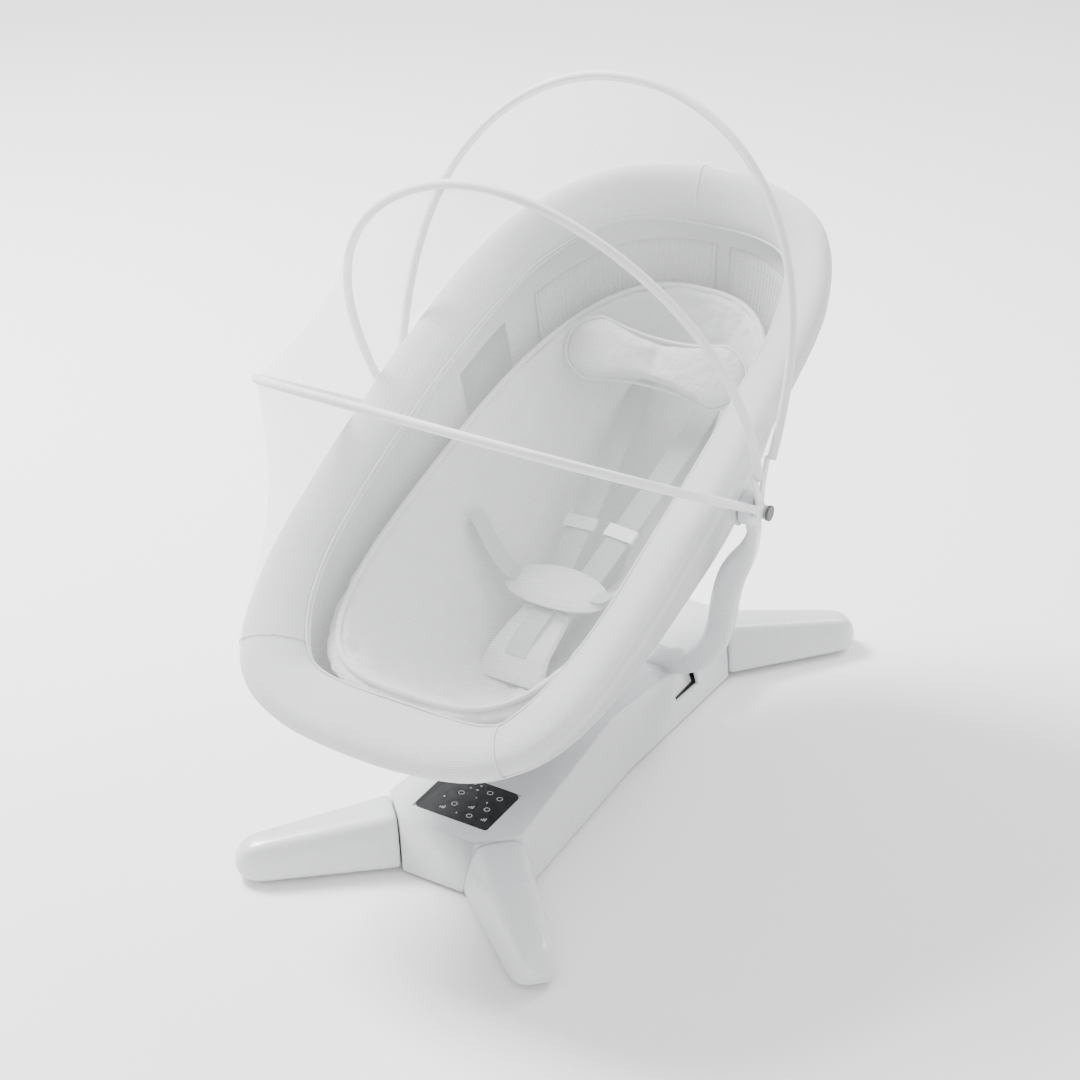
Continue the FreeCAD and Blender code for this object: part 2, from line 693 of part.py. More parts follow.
# side brackets, from the rim tube down to the pivot
bracket_x = S.boss_in - 1.5 - S.bracket_t
brackets = {}
for name, side in (("left", -1), ("right", 1)):
    x = bracket_x if side > 0 else -(bracket_x + S.bracket_t)
    plate = box(name + "_plate", offset(PIVOT, x + S.bracket_t / 2, 0, 0), S.bracket_t, S.bracket_w, 54)
    eye = rod(name + "_eye", offset(PIVOT, x, 0, 0), S.bracket_w / 2, S.bracket_t, "X")
    solid = fuse(name + "_bracket_solid", [plate, eye])
    hole = rod(name + "_hole", offset(PIVOT, x - 1, 0, 0), S.pin_r, S.bracket_t + 2, "X")
    saddle_cut = feature(name + "_tube_seat", rim_tube, PIVOT)
    seated = cut(name + "_bracket_seat", solid, saddle_cut)
    brackets[name] = cut(name + "_bracket_cut", seated, hole)
slot_half = num(S.bracket_w / 2 + S.gap)
slot_low = Vector(num(bracket_x - S.gap), -slot_half, 0)
slot_solid = Part.makeBox(num(S.bracket_t + S.gap * 2), 2 * slot_half, 54.5, slot_low)
padding = both_sides(padding_half.cut(channel).cut(slot_solid))
keep("rim_tube", feature("RimTube", rim_tube, PIVOT))
keep("rim_padding", feature("RimPadding", padding, PIVOT))
for name in ("left", "right"):
    keep(name + "_bracket", brackets[name])

pins = []
caps = []
for side in (-1, 1):
    pin_start = bracket_x if side > 0 else -(S.boss_in + S.boss_t + 14)
    pin_length = S.boss_in + S.boss_t + 14 - bracket_x
    pins.append(rod("Pin%d" % side, offset(PIVOT, pin_start, 0, 0), S.pin_r, pin_length, "X"))
    cap_x = S.boss_in + S.boss_t + 14 if side > 0 else -(S.boss_in + S.boss_t + 17)
    caps.append(rod("Cap%d" % side, offset(PIVOT, cap_x, 0, 0), 8, 3, "X"))
keep("pivot_pins", group("PivotPins", pins))
keep("pivot_caps", group("PivotCaps", caps))


# ---------------------------------------------------------------- bowl and mattress
def bowl_ring(name, where, inset=0, lift=0):
    """A level egg-shaped ring of a bowl, moved in and up."""
    read = lambda word: num(getattr(S, "%s_%s_%s" % (name, where, word)))
    half = read("x") - inset
    foot = Vector(0, read("foot_y") + inset, read("foot_z") + lift)
    head = Vector(0, read("head_y") - inset, read("head_z") + lift)
    middle = (foot + head) * 0.5
    reach = (head - foot) * 0.5
    points = []
    for a in range(0, 360, 30):
        c = math.cos(math.radians(a))
        s = math.sin(math.radians(a))
        u = math.copysign(abs(s) ** 0.78, s)
        v = math.copysign(abs(c) ** 0.78, c)
        points.append(middle - reach * v + Vector(u * half, 0, 0))
    return smooth_loop(points)


def bowl_loft(name, rows, inset=0, lift=0):
    """A solid through a bowl's rings."""
    lifts = rows if isinstance(rows, dict) else {where: lift for where in rows}
    return Part.makeLoft([bowl_ring(name, w, inset, up) for w, up in lifts.items()], True)


wall = num(S.bowl_wall)
bowl_out = bowl_loft("bowl", list(BOWL))
bowl_in = bowl_loft("bowl", {"mouth": 3, "upper": 0, "middle": wall * 0.6, "lower": wall, "floor": wall},
                    wall)
side_line = [Vector(0, s.middle.y, s.middle.z) for s in right]
side_curve = Part.BSplineCurve()
side_curve.interpolate(Points=side_line)
first, last = side_line[0], side_line[-1]
high = num(S.rim_head_z) + 150
lid_edges = [
    side_curve.toShape(),
    Part.LineSegment(last, last + Vector(0, 60, 0)).toShape(),
    Part.LineSegment(last + Vector(0, 60, 0), Vector(0, last.y + 60, high)).toShape(),
    Part.LineSegment(Vector(0, last.y + 60, high), Vector(0, first.y - 60, high)).toShape(),
    Part.LineSegment(Vector(0, first.y - 60, high), first + Vector(0, -60, 0)).toShape(),
    Part.LineSegment(first + Vector(0, -60, 0), first).toShape(),
]
lid_face = Part.Face(Part.Wire(Part.__sortEdges__(lid_edges)))
lid_face.translate(Vector(-300, 0, 0))
lid = lid_face.extrude(Vector(600, 0, 0))
bowl = bowl_out.cut(bowl_in).cut(lid).cut(padding_solid)
keep("bowl", feature("Bowl", bowl, PIVOT))

mat_rows = list(MAT)
mat_t = num(S.mat_t)
mat_out = bowl_loft("mat", mat_rows)
mat_in = bowl_loft("mat", {"upper": 12, "middle": mat_t, "lower": mat_t, "floor": mat_t}, mat_t * 0.85)
keep("mattress", feature("Mattress", mat_out.cut(mat_in), PIVOT))

board_top = bowl_ring("mat", "floor", -16, -6)
board_low = bowl_ring("bowl", "floor", 4, 14)
keep("seat_board", feature("SeatBoard", Part.makeLoft([board_low, board_top], True), PIVOT))

# ---------------------------------------------------------------- harness and pillow
harness_turn = Rotation(Vector(1, 0, 0), num(S.harness_lean))
harness = offset(PIVOT, 0, S.harness_y, S.harness_z)


def on_harness(name, x, v, w, lx, lv, lw):
    """A box in the leaning plane of the harness, v up the slope and w out of it."""
    spot = harness_turn.multVec(Vector(0, v, w))
    return box(name, offset(harness, x, spot.y, spot.z), lx, lv, lw, harness_turn)


keep_oval = doc.addObject("Part::Feature", "BellyPad")
stretch = FreeCAD.Matrix()
stretch.scale(1.95, 1, 1)
oval_shape = Part.makeCylinder(30, 10).transformGeometry(stretch)
keep_oval.Shape = oval_shape
out = harness_turn.multVec(Vector(0, 0, 12))
place(keep_oval, offset(harness, 0, out.y, out.z), harness_turn)
keep("belly_pad", keep_oval)

crotch = body("CrotchPad", offset(harness, 0, harness_turn.multVec(Vector(0, -24, -4)).y,
                                  harness_turn.multVec(Vector(0, -24, -4)).z), harness_turn)
pad(crotch, outline(sketch(crotch, "XY_Plane"), [(-40, -70), (40, -70), (27, 0), (-27, 0)]), 8)
keep("crotch_pad", crotch)

buckle_block = on_harness("BuckleBlock", 0, 0, -7, 48, 40, 14)
button_spot = offset(harness, 0, harness_turn.multVec(Vector(0, 0, -3)).y,
                     harness_turn.multVec(Vector(0, 0, -3)).z)
well = place(doc.addObject("Part::Cylinder", "ButtonWell"), button_spot, harness_turn)
bind(well, "Radius", dim(8) + S.gap)
well.Height = 12
keep("buckle", cut("Buckle", buckle_block, well))
up = harness_turn.multVec(Vector(0, 0, 1))
button = place(doc.addObject("Part::Cylinder", "BuckleButton"), offset(button_spot, 0, up.y * 3.2, up.z * 3.2),
               harness_turn)
button.Radius = 8
button.Height = 7.5
keep("buckle_button", button)


def strap(name, start, end, width, thick):
    """A flat strap drawn straight between two points, its width level."""
    start, end = Vector(*start), Vector(*end)
    along = end - start
    length = along.Length
    x_axis = along.cross(Vector(0, 0, 1)).normalize()
    frame = Rotation(x_axis, along, x_axis.cross(along), "YXZ")
    obj = doc.addObject("Part::Box", name)
    bind(obj, "Length", width)
    obj.Width = length
    bind(obj, "Height", thick)
    corner = start - frame.multVec(Vector(num(width) / 2, 0, num(thick) / 2))
    return place(obj, offset(PIVOT, corner.x, corner.y, corner.z), frame)


hy, hz = num(S.harness_y), num(S.harness_z)
for name, side in (("left", -1), ("right", 1)):
    low, high = (side * 17, hy + 24, hz + 6), (side * 40, 200, -44)
    keep(name + "_shoulder_strap", strap(name + "_shoulder", low, high, S.web_w, S.web_t))
    low, high = (side * 60, hy, hz + 20), (side * 95, hy + 4, hz + 64)
    keep(name + "_waist_strap", strap(name + "_waist", low, high, S.web_w - 3, S.web_t))

adjusters = []
for side in (-1, 1):
    low, high = Vector(side * 17, hy + 24, hz + 6), Vector(side * 40, 200, -44)
    a, b = low + (high - low) * 0.30, low + (high - low) * 0.37
    frame_solid = strap("Adjuster%d" % side, a, b, S.web_w + 8, S.web_t + 4)
    a, b = low + (high - low) * 0.28, low + (high - low) * 0.39
    window = strap("AdjusterSlot%d" % side, a, b, S.web_w + 1, S.web_t + 0.8)
    adjusters.append(cut("AdjusterCut%d" % side, frame_solid, window))
keep("strap_adjusters", group("StrapAdjusters", adjusters))

pillow_turn = Rotation(Vector(1, 0, 0), 58)
lobe = Part.makeCylinder(43, 26, Vector(0, 0, -13))
rims = [e for e in lobe.Edges if isinstance(e.Curve, Part.Circle)]
lobe = lobe.makeFillet(10, rims)
pillow = Part.makeBox(80, 46, 18, Vector(-40, -23, -9))
for side in (-1, 1):
    one = lobe.copy()
    one.translate(Vector(side * 54, 0, 0))
    pillow = pillow.fuse(one)
pillow_node = doc.addObject("Part::Feature", "HeadPillow")
pillow_node.Shape = pillow
keep("head_pillow", place(pillow_node, offset(PIVOT, 0, 195, 25), pillow_turn))

# ---------------------------------------------------------------- hood
HOOP_ORDER = list(HOOPS)


class Hoop:
    """A hoop's middle line: a rounded arch standing in a plane through the pivot axis."""

    def __init__(self, where):
        read = lambda word: num(getattr(S, "hoop_%s_%s" % (where, word)))
        self.angle = math.radians(read("angle"))
        self.rise = read("rise")
        self.power = 2 / read("square")
        self.bulge = read("bulge")
        step = num(S.tab_pitch) * HOOP_ORDER.index(where)
        self.half = num(S.boss_in + S.boss_t) + 1.5 + num(S.tab_t) / 2 + step

    def local(self, a, grow=0):
        """A point in the hoop's own plane: X across, Z away from the pivot axis."""
        c, s = math.cos(a), math.sin(a)
        side = math.copysign(abs(c) ** self.power, c)
        lean_out = 1 + self.bulge * math.sin(2 * min(a, math.pi - a))
        return Vector(side * self.half * lean_out, 0, self.rise * s ** self.power + grow)

    def world(self, a, grow=0):
        """The same point in the seat's frame."""
        p = self.local(a, grow)
        return Vector(p.x, -p.z * math.cos(self.angle), p.z * math.sin(self.angle))

    def start(self, reach):
        """The parameter where the hoop is this far from the axis."""
        return math.asin((reach / self.rise) ** (1 / self.power))


hoops = {where: Hoop(where) for where in HOOPS}
for where, hoop in hoops.items():
    turn = Rotation(Vector(1, 0, 0), 90 - math.degrees(hoop.angle))
    reach = num(S.tab_l) - 6
    first = hoop.start(reach)
    steps = 8
    points = [hoop.local(first + (math.pi - 2 * first) * i / steps) for i in range(steps + 1)]
    path = smooth_path(points)
    arch = swept(path, circle_at(path, num(S.hoop_r)))
    tube = doc.addObject("Part::Feature", where + "_hoop_tube")
    tube.Shape = arch
    place(tube, PIVOT, turn)
    keep(where + "_hoop", tube)
    tabs = []
    for side in (-1, 1):
        middle = S.boss_in + S.boss_t + 1.5 + S.tab_t / 2 + S.tab_pitch * HOOP_ORDER.index(where)
        x = middle - S.tab_t / 2 if side > 0 else -(middle + S.tab_t / 2)
        tab = body("%s_tab_%d" % (where, side + 1), offset(PIVOT, x, 0, 0), turn)
        face = sketch(tab, "YZ_Plane")
        half = [(S.tab_w / 2, -(S.tab_w / 2)), (S.tab_w / 2, 14), (S.hoop_r, 22), (S.hoop_r, S.tab_l)]
        outline(face, half + [(-x, z) for x, z in reversed(half)])
        ring(face, 0, 0, S.pin_r + S.bearing_gap)
        pad(tab, face, S.tab_t)
        tabs.append(tab)
    cutter = doc.addObject("Part::Feature", where + "_socket")
    cutter.Shape = arch
    place(cutter, PIVOT, turn)
    keep(where + "_hoop_ends", cut(where + "_ends", group(where + "_tabs", tabs), cutter))


def net_strip(edge_a, edge_b, count):
    """A thin closed net between two edges, each a function of 0 to 1."""
    rows = []
    for i in range(count + 1):
        part = i / count
        a, b = edge_a(part), edge_b(part)
        span = b - a
        ease = span.normalize() * num(S.net_gap)
        low, high = a + ease, b - ease
        lift = (low + high).normalize() * num(S.net_t)
        rows.append(Part.makePolygon([low, high, high + lift, low + lift, low]))
    return Part.makeLoft(rows, True, True)


def hoop_edge(where, reach):
    """A hoop's line as a function of 0 to 1, starting a reach from the axis."""
    hoop = hoops[where]
    first = hoop.start(reach)
    return lambda part: hoop.world(first + (math.pi - 2 * first) * part)


keep("net_rear", feature("NetRear", net_strip(hoop_edge("rear", 70), hoop_edge("middle", 70), 12), PIVOT))
keep("net_middle", feature("NetMiddle", net_strip(hoop_edge("middle", 75), hoop_edge("front", 75), 12), PIVOT))

# ---------------------------------------------------------------- check and write
doc.recompute()
for obj in doc.Objects:
    if "Invalid" in obj.State or "Error" in obj.State:
        raise RuntimeError("%s failed: %s" % (obj.Label, obj.State))
for obj in NODES:
    if obj.Shape.isNull() or not obj.Shape.isValid():
        raise RuntimeError("%s has no valid shape" % obj.Label)
os.makedirs("parts", exist_ok=True)
for obj in NODES:
    obj.Shape.exportStep("parts/%s.step" % obj.Label)
    print("%-22s %9.0f mm3 %d solid(s)" % (obj.Label, obj.Shape.Volume, len(obj.Shape.Solids)))
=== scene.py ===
import logging
import math
from dataclasses import dataclass, field
from enum import Enum
from typing import Callable, Sequence

import bmesh
import bpy
from bmesh.types import BMEdge, BMesh, BMVert
from bpy.types import Material, Modifier, Node, NodeSocket, NodeTree, Object
from mathutils import Matrix, Vector, noise
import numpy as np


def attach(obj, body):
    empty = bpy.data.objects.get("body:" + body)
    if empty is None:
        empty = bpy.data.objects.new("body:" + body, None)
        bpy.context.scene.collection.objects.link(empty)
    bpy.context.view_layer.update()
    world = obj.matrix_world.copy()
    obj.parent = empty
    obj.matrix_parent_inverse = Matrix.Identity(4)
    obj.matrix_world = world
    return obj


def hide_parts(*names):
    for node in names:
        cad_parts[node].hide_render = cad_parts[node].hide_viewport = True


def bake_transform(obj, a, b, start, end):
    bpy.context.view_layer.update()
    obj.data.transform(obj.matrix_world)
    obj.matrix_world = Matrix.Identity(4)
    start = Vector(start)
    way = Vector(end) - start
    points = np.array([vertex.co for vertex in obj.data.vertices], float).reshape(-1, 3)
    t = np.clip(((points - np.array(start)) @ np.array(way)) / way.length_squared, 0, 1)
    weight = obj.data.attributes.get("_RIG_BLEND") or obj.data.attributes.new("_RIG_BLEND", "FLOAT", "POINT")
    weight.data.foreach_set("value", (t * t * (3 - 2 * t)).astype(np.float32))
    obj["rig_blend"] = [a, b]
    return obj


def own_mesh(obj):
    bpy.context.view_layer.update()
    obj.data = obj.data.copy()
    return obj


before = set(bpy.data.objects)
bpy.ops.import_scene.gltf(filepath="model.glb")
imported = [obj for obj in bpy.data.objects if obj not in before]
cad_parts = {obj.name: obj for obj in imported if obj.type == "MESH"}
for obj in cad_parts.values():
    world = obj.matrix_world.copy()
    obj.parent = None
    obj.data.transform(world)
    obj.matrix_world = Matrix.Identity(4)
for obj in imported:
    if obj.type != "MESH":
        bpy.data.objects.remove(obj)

log = logging.getLogger("baby_swing")
MM = 0.001
UP = Vector((0, 0, 1))
PIVOT = Vector((0, 26.6, 361))
BASE = Vector((0, 20.6, 0))
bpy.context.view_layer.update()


# ---- curves and skins
def smooth_line(points: Sequence[Vector], count: int, closed: bool = False) -> list[Vector]:
    """Pass a smooth line through points.

    Args:
        points: the points, of any dimension.
        count: how many samples to return.
        closed: whether the line joins up with itself.

    Returns:
        Samples along the line; a closed line doesn't repeat its first.
    """
    total = len(points)
    spans = total if closed else total - 1
    line = []
    for i in range(count):
        where = spans * i / (count if closed else count - 1)
        k = min(int(where), spans - 1)
        f = where - k
        pick = [points[j % total] if closed else points[min(max(j, 0), total - 1)]
                for j in (k - 1, k, k + 1, k + 2)]
        a, b, c, d = pick
        line.append(b + (c - a) * (f / 2) + (a * 2 - b * 5 + c * 4 - d) * (f * f / 2)
                    + (b * 3 - a - c * 3 + d) * (f * f * f / 2))
    return line


def signed_power(value: float, power: float) -> float:
    """Raise a number's size to a power and keep its sign."""
    return math.copysign(abs(value) ** power, value)


def circle(count: int) -> list[float]:
    """Return evenly spread angles round a circle."""
    return [math.tau * k / count for k in range(count)]


def squircle(angle: float, power: float) -> tuple[float, float]:
    """Return a point of a circle that a power below 1 makes squarer."""
    return signed_power(math.cos(angle), power), signed_power(math.sin(angle), power)


def finish_object(name: str, bm: BMesh, smooth: bool = True) -> Object:
    """Make an object of a bmesh whose points are in millimetres.

    Args:
        name: the piece's name.
        bm: the mesh, freed here.
        smooth: whether its faces shade smoothly.

    Returns:
        The new object, at the origin, in metres.
    """
    bmesh.ops.scale(bm, vec=(MM, MM, MM), verts=bm.verts)
    mesh = bpy.data.meshes.new(name)
    bm.to_mesh(mesh)
    bm.free()
    for poly in mesh.polygons:
        poly.use_smooth = smooth
    obj = bpy.data.objects.new(name, mesh)
    bpy.context.scene.collection.objects.link(obj)
    return obj


def skin(bm: BMesh, rings: Sequence[Sequence[Vector]], round_ring: bool = True,
         joined: bool = False, cap: bool = False) -> None:
    """Extrude a first ring through the others.

    Args:
        bm: the mesh that gets the skin.
        rings: rows of points, all of one length.
        round_ring: whether each row closes on itself.
        joined: whether the last row meets the first.
        cap: whether the two end rows are filled.
    """
    uv = bm.loops.layers.uv.verify()
    width = len(rings[0])
    spans = width if round_ring else width - 1
    sampled = range(0, width, 4)
    across = [0.0]
    for a, b in zip(rings[0], [*rings[0][1:], rings[0][0]]):
        across.append(across[-1] + (b - a).length)
    first = [bm.verts.new(p) for p in rings[0]]
    start_edges = [bm.edges.new((first[i], first[(i + 1) % width])) for i in range(spans)]
    row, run, edges = first, 0.0, start_edges
    for k in range(len(rings) if joined else len(rings) - 1):
        target = rings[(k + 1) % len(rings)]
        step = sum((target[i] - rings[k][i]).length for i in sampled) / len(sampled)
        made = bmesh.ops.extrude_edge_only(bm, edges=edges)["geom"]
        new_verts = {vert for g in made if isinstance(g, BMEdge) for vert in g.verts}
        partner = [next(e.other_vert(vert) for e in vert.link_edges if e.other_vert(vert) in new_verts)
                   for vert in row]
        for vert, spot in zip(partner, target):
            vert.co = spot
        for i in range(spans):
            j = (i + 1) % width
            places = {row[i]: (across[i], run), row[j]: (across[i + 1], run),
                      partner[i]: (across[i], run + step), partner[j]: (across[i + 1], run + step)}
            for face in partner[i].link_faces:
                if row[i] in face.verts and row[j] in face.verts:
                    for loop in face.loops:
                        loop[uv].uv = [v * MM for v in places[loop.vert]]
        edges = [bm.edges.get((partner[i], partner[(i + 1) % width])) for i in range(spans)]
        row, run = partner, run + step
    if joined:
        bmesh.ops.remove_doubles(bm, verts=row + first, dist=0.001)
    if cap:
        for loop in (start_edges, edges):
            filled = bmesh.ops.edgeloop_fill(bm, edges=loop)["faces"]
            bmesh.ops.poke(bm, faces=filled)
    bmesh.ops.recalc_face_normals(bm, faces=bm.faces)


def tube(bm: BMesh, line: Sequence[Vector], radius: float, sides: int = 10, closed: bool = False,
         up: Vector = UP) -> None:
    """Skin a round tube along a line.

    Args:
        bm: the mesh that gets the tube.
        line: points along its middle.
        radius: its half width.
        sides: how many flats make it round.
        closed: whether it is a loop.
        up: a direction off the line, from which its flats are counted.
    """
    count = len(line)
    rings = []
    for i in range(count):
        before = line[i - 1] if (i or closed) else line[0]
        after = line[(i + 1) % count] if (i + 1 < count or closed) else line[-1]
        along = (after - before).normalized()
        side = along.cross(up).normalized()
        lift = side.cross(along).normalized()
        rings.append([line[i] + side * (radius * math.cos(t)) + lift * (radius * math.sin(t))
                      for t in circle(sides)])
    skin(bm, rings, joined=closed, cap=not closed)


def skinned(name: str, rings: Sequence[Sequence[Vector]], **how: bool) -> Object:
    """Make a piece from rows of points, with the options of skin."""
    bm = bmesh.new()
    skin(bm, rings, **how)
    return finish_object(name, bm)


def add_modifier(obj: Object, kind: str, **values: object) -> Modifier:
    """Add a modifier and set its values by name."""
    mod = obj.modifiers.new(kind.lower(), kind)
    for key, value in values.items():
        setattr(mod, key, value)
    return mod


def apply_modifiers(obj: Object) -> None:
    """Bake the object's modifiers into its mesh."""
    bpy.context.view_layer.update()
    graph = bpy.context.evaluated_depsgraph_get()
    mesh = bpy.data.meshes.new_from_object(obj.evaluated_get(graph), preserve_all_data_layers=True,
                                           depsgraph=graph)
    obj.modifiers.clear()
    obj.data = mesh
    for poly in mesh.polygons:
        poly.use_smooth = True


def subdivide(obj: Object, levels: int = 1) -> None:
    """Give a piece a subdivision surface."""
    add_modifier(obj, "SUBSURF", levels=levels, render_levels=levels)


def inflate(obj: Object, voxel: float, pressure: float, cap: float) -> None:
    """Swell a closed pad by cloth simulation and keep the result.

    Args:
        obj: the pad.
        voxel: remesh size in metres.
        pressure: the cloth's inner pressure.
        cap: the furthest that a point may move, in metres.
    """
    add_modifier(obj, "REMESH", mode="VOXEL", voxel_size=voxel, use_smooth_shade=True)
    apply_modifiers(obj)
    rest = [v.co.copy() for v in obj.data.vertices]
    cloth = obj.modifiers.new("cloth", "CLOTH")
    cloth.settings.use_pressure = True
    cloth.settings.uniform_pressure_force = pressure
    cloth.settings.quality = 4
    cloth.settings.effector_weights.gravity = 0
    scene = bpy.context.scene
    for step in range(1, 16):
        scene.frame_set(step)
    bpy.context.view_layer.update()
    graph = bpy.context.evaluated_depsgraph_get()
    moved = [v.co.copy() for v in obj.evaluated_get(graph).data.vertices]
    obj.modifiers.clear()
    scene.frame_set(1)
    for vert, a, b in zip(obj.data.vertices, rest, moved):
        shift = b - a
        vert.co = a + (shift if shift.length < cap else shift.normalized() * cap)


def wrinkle(obj: Object, depth: float, scale: float, seed: float, ridge: bool = True) -> None:
    """Push points in and out along their normals for fine crinkles.

    Args:
        obj: the piece, in metres.
        depth: height of the crinkles in metres.
        scale: crinkles for each metre.
        seed: where in the noise to look.
        ridge: whether the crinkles are sharp puckers instead of soft swells.
    """
    for vert in obj.data.vertices:
        value = noise.noise(vert.co * scale + Vector((seed, seed * 2, 0)))
        value = (0.5 - abs(value) * 2) if ridge else value
        vert.co += vert.normal * (depth * value)


# ---- finishes
class Pattern(Enum):
    """The surface pattern that a fabric shows."""

    KNIT = "knit"
    COTTON = "cotton"
    RIB = "rib"
    WEBBING = "webbing"
    NET = "net"


def new_group(name: str, inputs: dict[str, float], outputs: dict[str, str]) -> NodeTree:
    """Make an empty shader node group with named inputs and typed outputs."""
    tree = bpy.data.node_groups.new(name, "ShaderNodeTree")
    for key, value in inputs.items():
        kind = "NodeSocketVector" if key == "Vector" else "NodeSocketFloat"
        socket = tree.interface.new_socket(key, in_out="INPUT", socket_type=kind)
        if kind == "NodeSocketFloat":
            socket.default_value = value
    for key, kind in outputs.items():
        tree.interface.new_socket(key, in_out="OUTPUT", socket_type=kind)
    tree.nodes.new("NodeGroupInput").name = "in"
    tree.nodes.new("NodeGroupOutput").name = "out"
    return tree


def put(node: Node, **values: object) -> None:
    """Set a node's inputs by name, with _ for a space."""
    for key, value in values.items():
        node.inputs[key.replace("_", " ")].default_value = value


def noise_node(tree: NodeTree, place: NodeSocket, **values: float) -> Node:
    """Add a noise texture fed by a position."""
    node = tree.nodes.new("ShaderNodeTexNoise")
    tree.links.new(place, node.inputs["Vector"])
    put(node, **values)
    return node


def math_node(tree: NodeTree, op: str, a: object, b: object = 0.0) -> NodeSocket:
    """Add a math node fed by sockets or numbers and return its output."""
    node = tree.nodes.new("ShaderNodeMath")
    node.operation = op
    for slot, value in zip(node.inputs, (a, b)):
        if isinstance(value, NodeSocket):
            tree.links.new(value, slot)
        else:
            slot.default_value = value
    return node.outputs[0]


def thread_group() -> NodeTree:
    """Build the crossed-thread pattern that every fabric shares.

    Returns:
        A group from a position to a thread height and a slow colour drift.
    """
    tree = new_group("crossed_threads", {"Vector": 0, "Per metre": 700, "Rib": 1, "Cross": 1},
                     {"Height": "NodeSocketFloat", "Drift": "NodeSocketFloat"})
    source, target = tree.nodes["in"].outputs, tree.nodes["out"].inputs
    split = tree.nodes.new("ShaderNodeSeparateXYZ")
    tree.links.new(source["Vector"], split.inputs[0])
    waves = []
    for axis, weight in (("X", "Rib"), ("Y", "Cross")):
        angle = math_node(tree, "MULTIPLY", split.outputs[axis], source["Per metre"])
        turned = math_node(tree, "MULTIPLY", angle, math.tau)
        wave = math_node(tree, "SINE", turned)
        waves.append(math_node(tree, "MULTIPLY", wave, source[weight]))
    total = math_node(tree, "ADD", waves[0], waves[1])
    tree.links.new(math_node(tree, "MULTIPLY", total, 0.25), target["Height"])
    slow = noise_node(tree, source["Vector"], Scale=14)
    tree.links.new(slow.outputs["Fac"], target["Drift"])
    return tree


def grain_group() -> NodeTree:
    """Build the fine moulded grain and handling marks that the hard parts share."""
    tree = new_group("moulded_grain", {"Vector": 0, "Grain": 900, "Marks": 22},
                     {"Height": "NodeSocketFloat", "Marks": "NodeSocketFloat"})
    source, target = tree.nodes["in"].outputs, tree.nodes["out"].inputs
    for size, socket in (("Grain", "Height"), ("Marks", "Marks")):
        node = noise_node(tree, source["Vector"], Detail=3)
        tree.links.new(source[size], node.inputs["Scale"])
        tree.links.new(node.outputs["Fac"], target[socket])
    return tree


THREADS = thread_group()
GRAIN = grain_group()


class Finish:
    """A material made once and shared by the pieces that have it."""

    def __init__(self, name: str) -> None:
        """Start a material with a plain principled shader."""
        self.material = bpy.data.materials.new(name)
        self.material.use_nodes = True
        self.tree = self.material.node_tree
        self.shader = self.tree.nodes["Principled BSDF"]

    def group(self, tree: NodeTree, coordinate: str, **values: float) -> Node:
        """Place a shared group, fed by Object coordinates or by the piece's own UV map."""
        node = self.tree.nodes.new("ShaderNodeGroup")
        node.node_tree = tree
        place = self.tree.nodes.new("ShaderNodeTexCoord")
        self.tree.links.new(place.outputs[coordinate], node.inputs["Vector"])
        put(node, **values)
        return node

    def bump(self, height: NodeSocket, distance: float, strength: float = 1.0) -> None:
        """Feed a height to the shader's normal."""
        node = self.tree.nodes.new("ShaderNodeBump")
        put(node, Distance=distance, Strength=strength)
        self.tree.links.new(height, node.inputs["Height"])
        self.tree.links.new(node.outputs["Normal"], self.shader.inputs["Normal"])

    def ramp(self, value: NodeSocket, low: object, high: object, target: str) -> None:
        """Spread a mask between two colours or two numbers and feed one shader socket."""
        if isinstance(low, tuple):
            node = self.tree.nodes.new("ShaderNodeMix")
            node.data_type = "RGBA"
            for slot, colour in ((6, low), (7, high)):
                node.inputs[slot].default_value = (*colour, 1)
            source, result = node.inputs[0], node.outputs[2]
        else:
            node = self.tree.nodes.new("ShaderNodeMapRange")
            put(node, From_Min=0.3, From_Max=0.7, To_Min=low, To_Max=high)
            source, result = node.inputs["Value"], node.outputs["Result"]
        self.tree.links.new(value, source)
        self.tree.links.new(result, self.shader.inputs[target])


@dataclass(frozen=True)
class Moulded:
    """A hard moulded, painted or metal finish."""

    name: str
    colour: tuple[float, float, float]
    rough: float = 0.35
    metal: float = 0.0
    coat: float = 0.0
    spread: float = 0.04

    def make(self) -> Material:
        """Return the material."""
        finish = Finish(self.name)
        grain = finish.group(GRAIN, "Object", Grain=900.0, Marks=18.0)
        dark = tuple(c * (1 - self.spread) for c in self.colour)
        finish.ramp(grain.outputs["Marks"], dark, self.colour, "Base Color")
        finish.ramp(grain.outputs["Marks"], self.rough * 0.85, self.rough * 1.15, "Roughness")
        finish.bump(grain.outputs["Height"], 0.00006, 0.5)
        put(finish.shader, Metallic=self.metal, Coat_Weight=self.coat, Coat_Roughness=0.12)
        return finish.material


VEIL_THREADS = 0.12
THREAD_WEIGHTS = {Pattern.RIB: (1.0, 0.3), Pattern.WEBBING: (1.0, 0.35), Pattern.COTTON: (0.12, 0.12)}


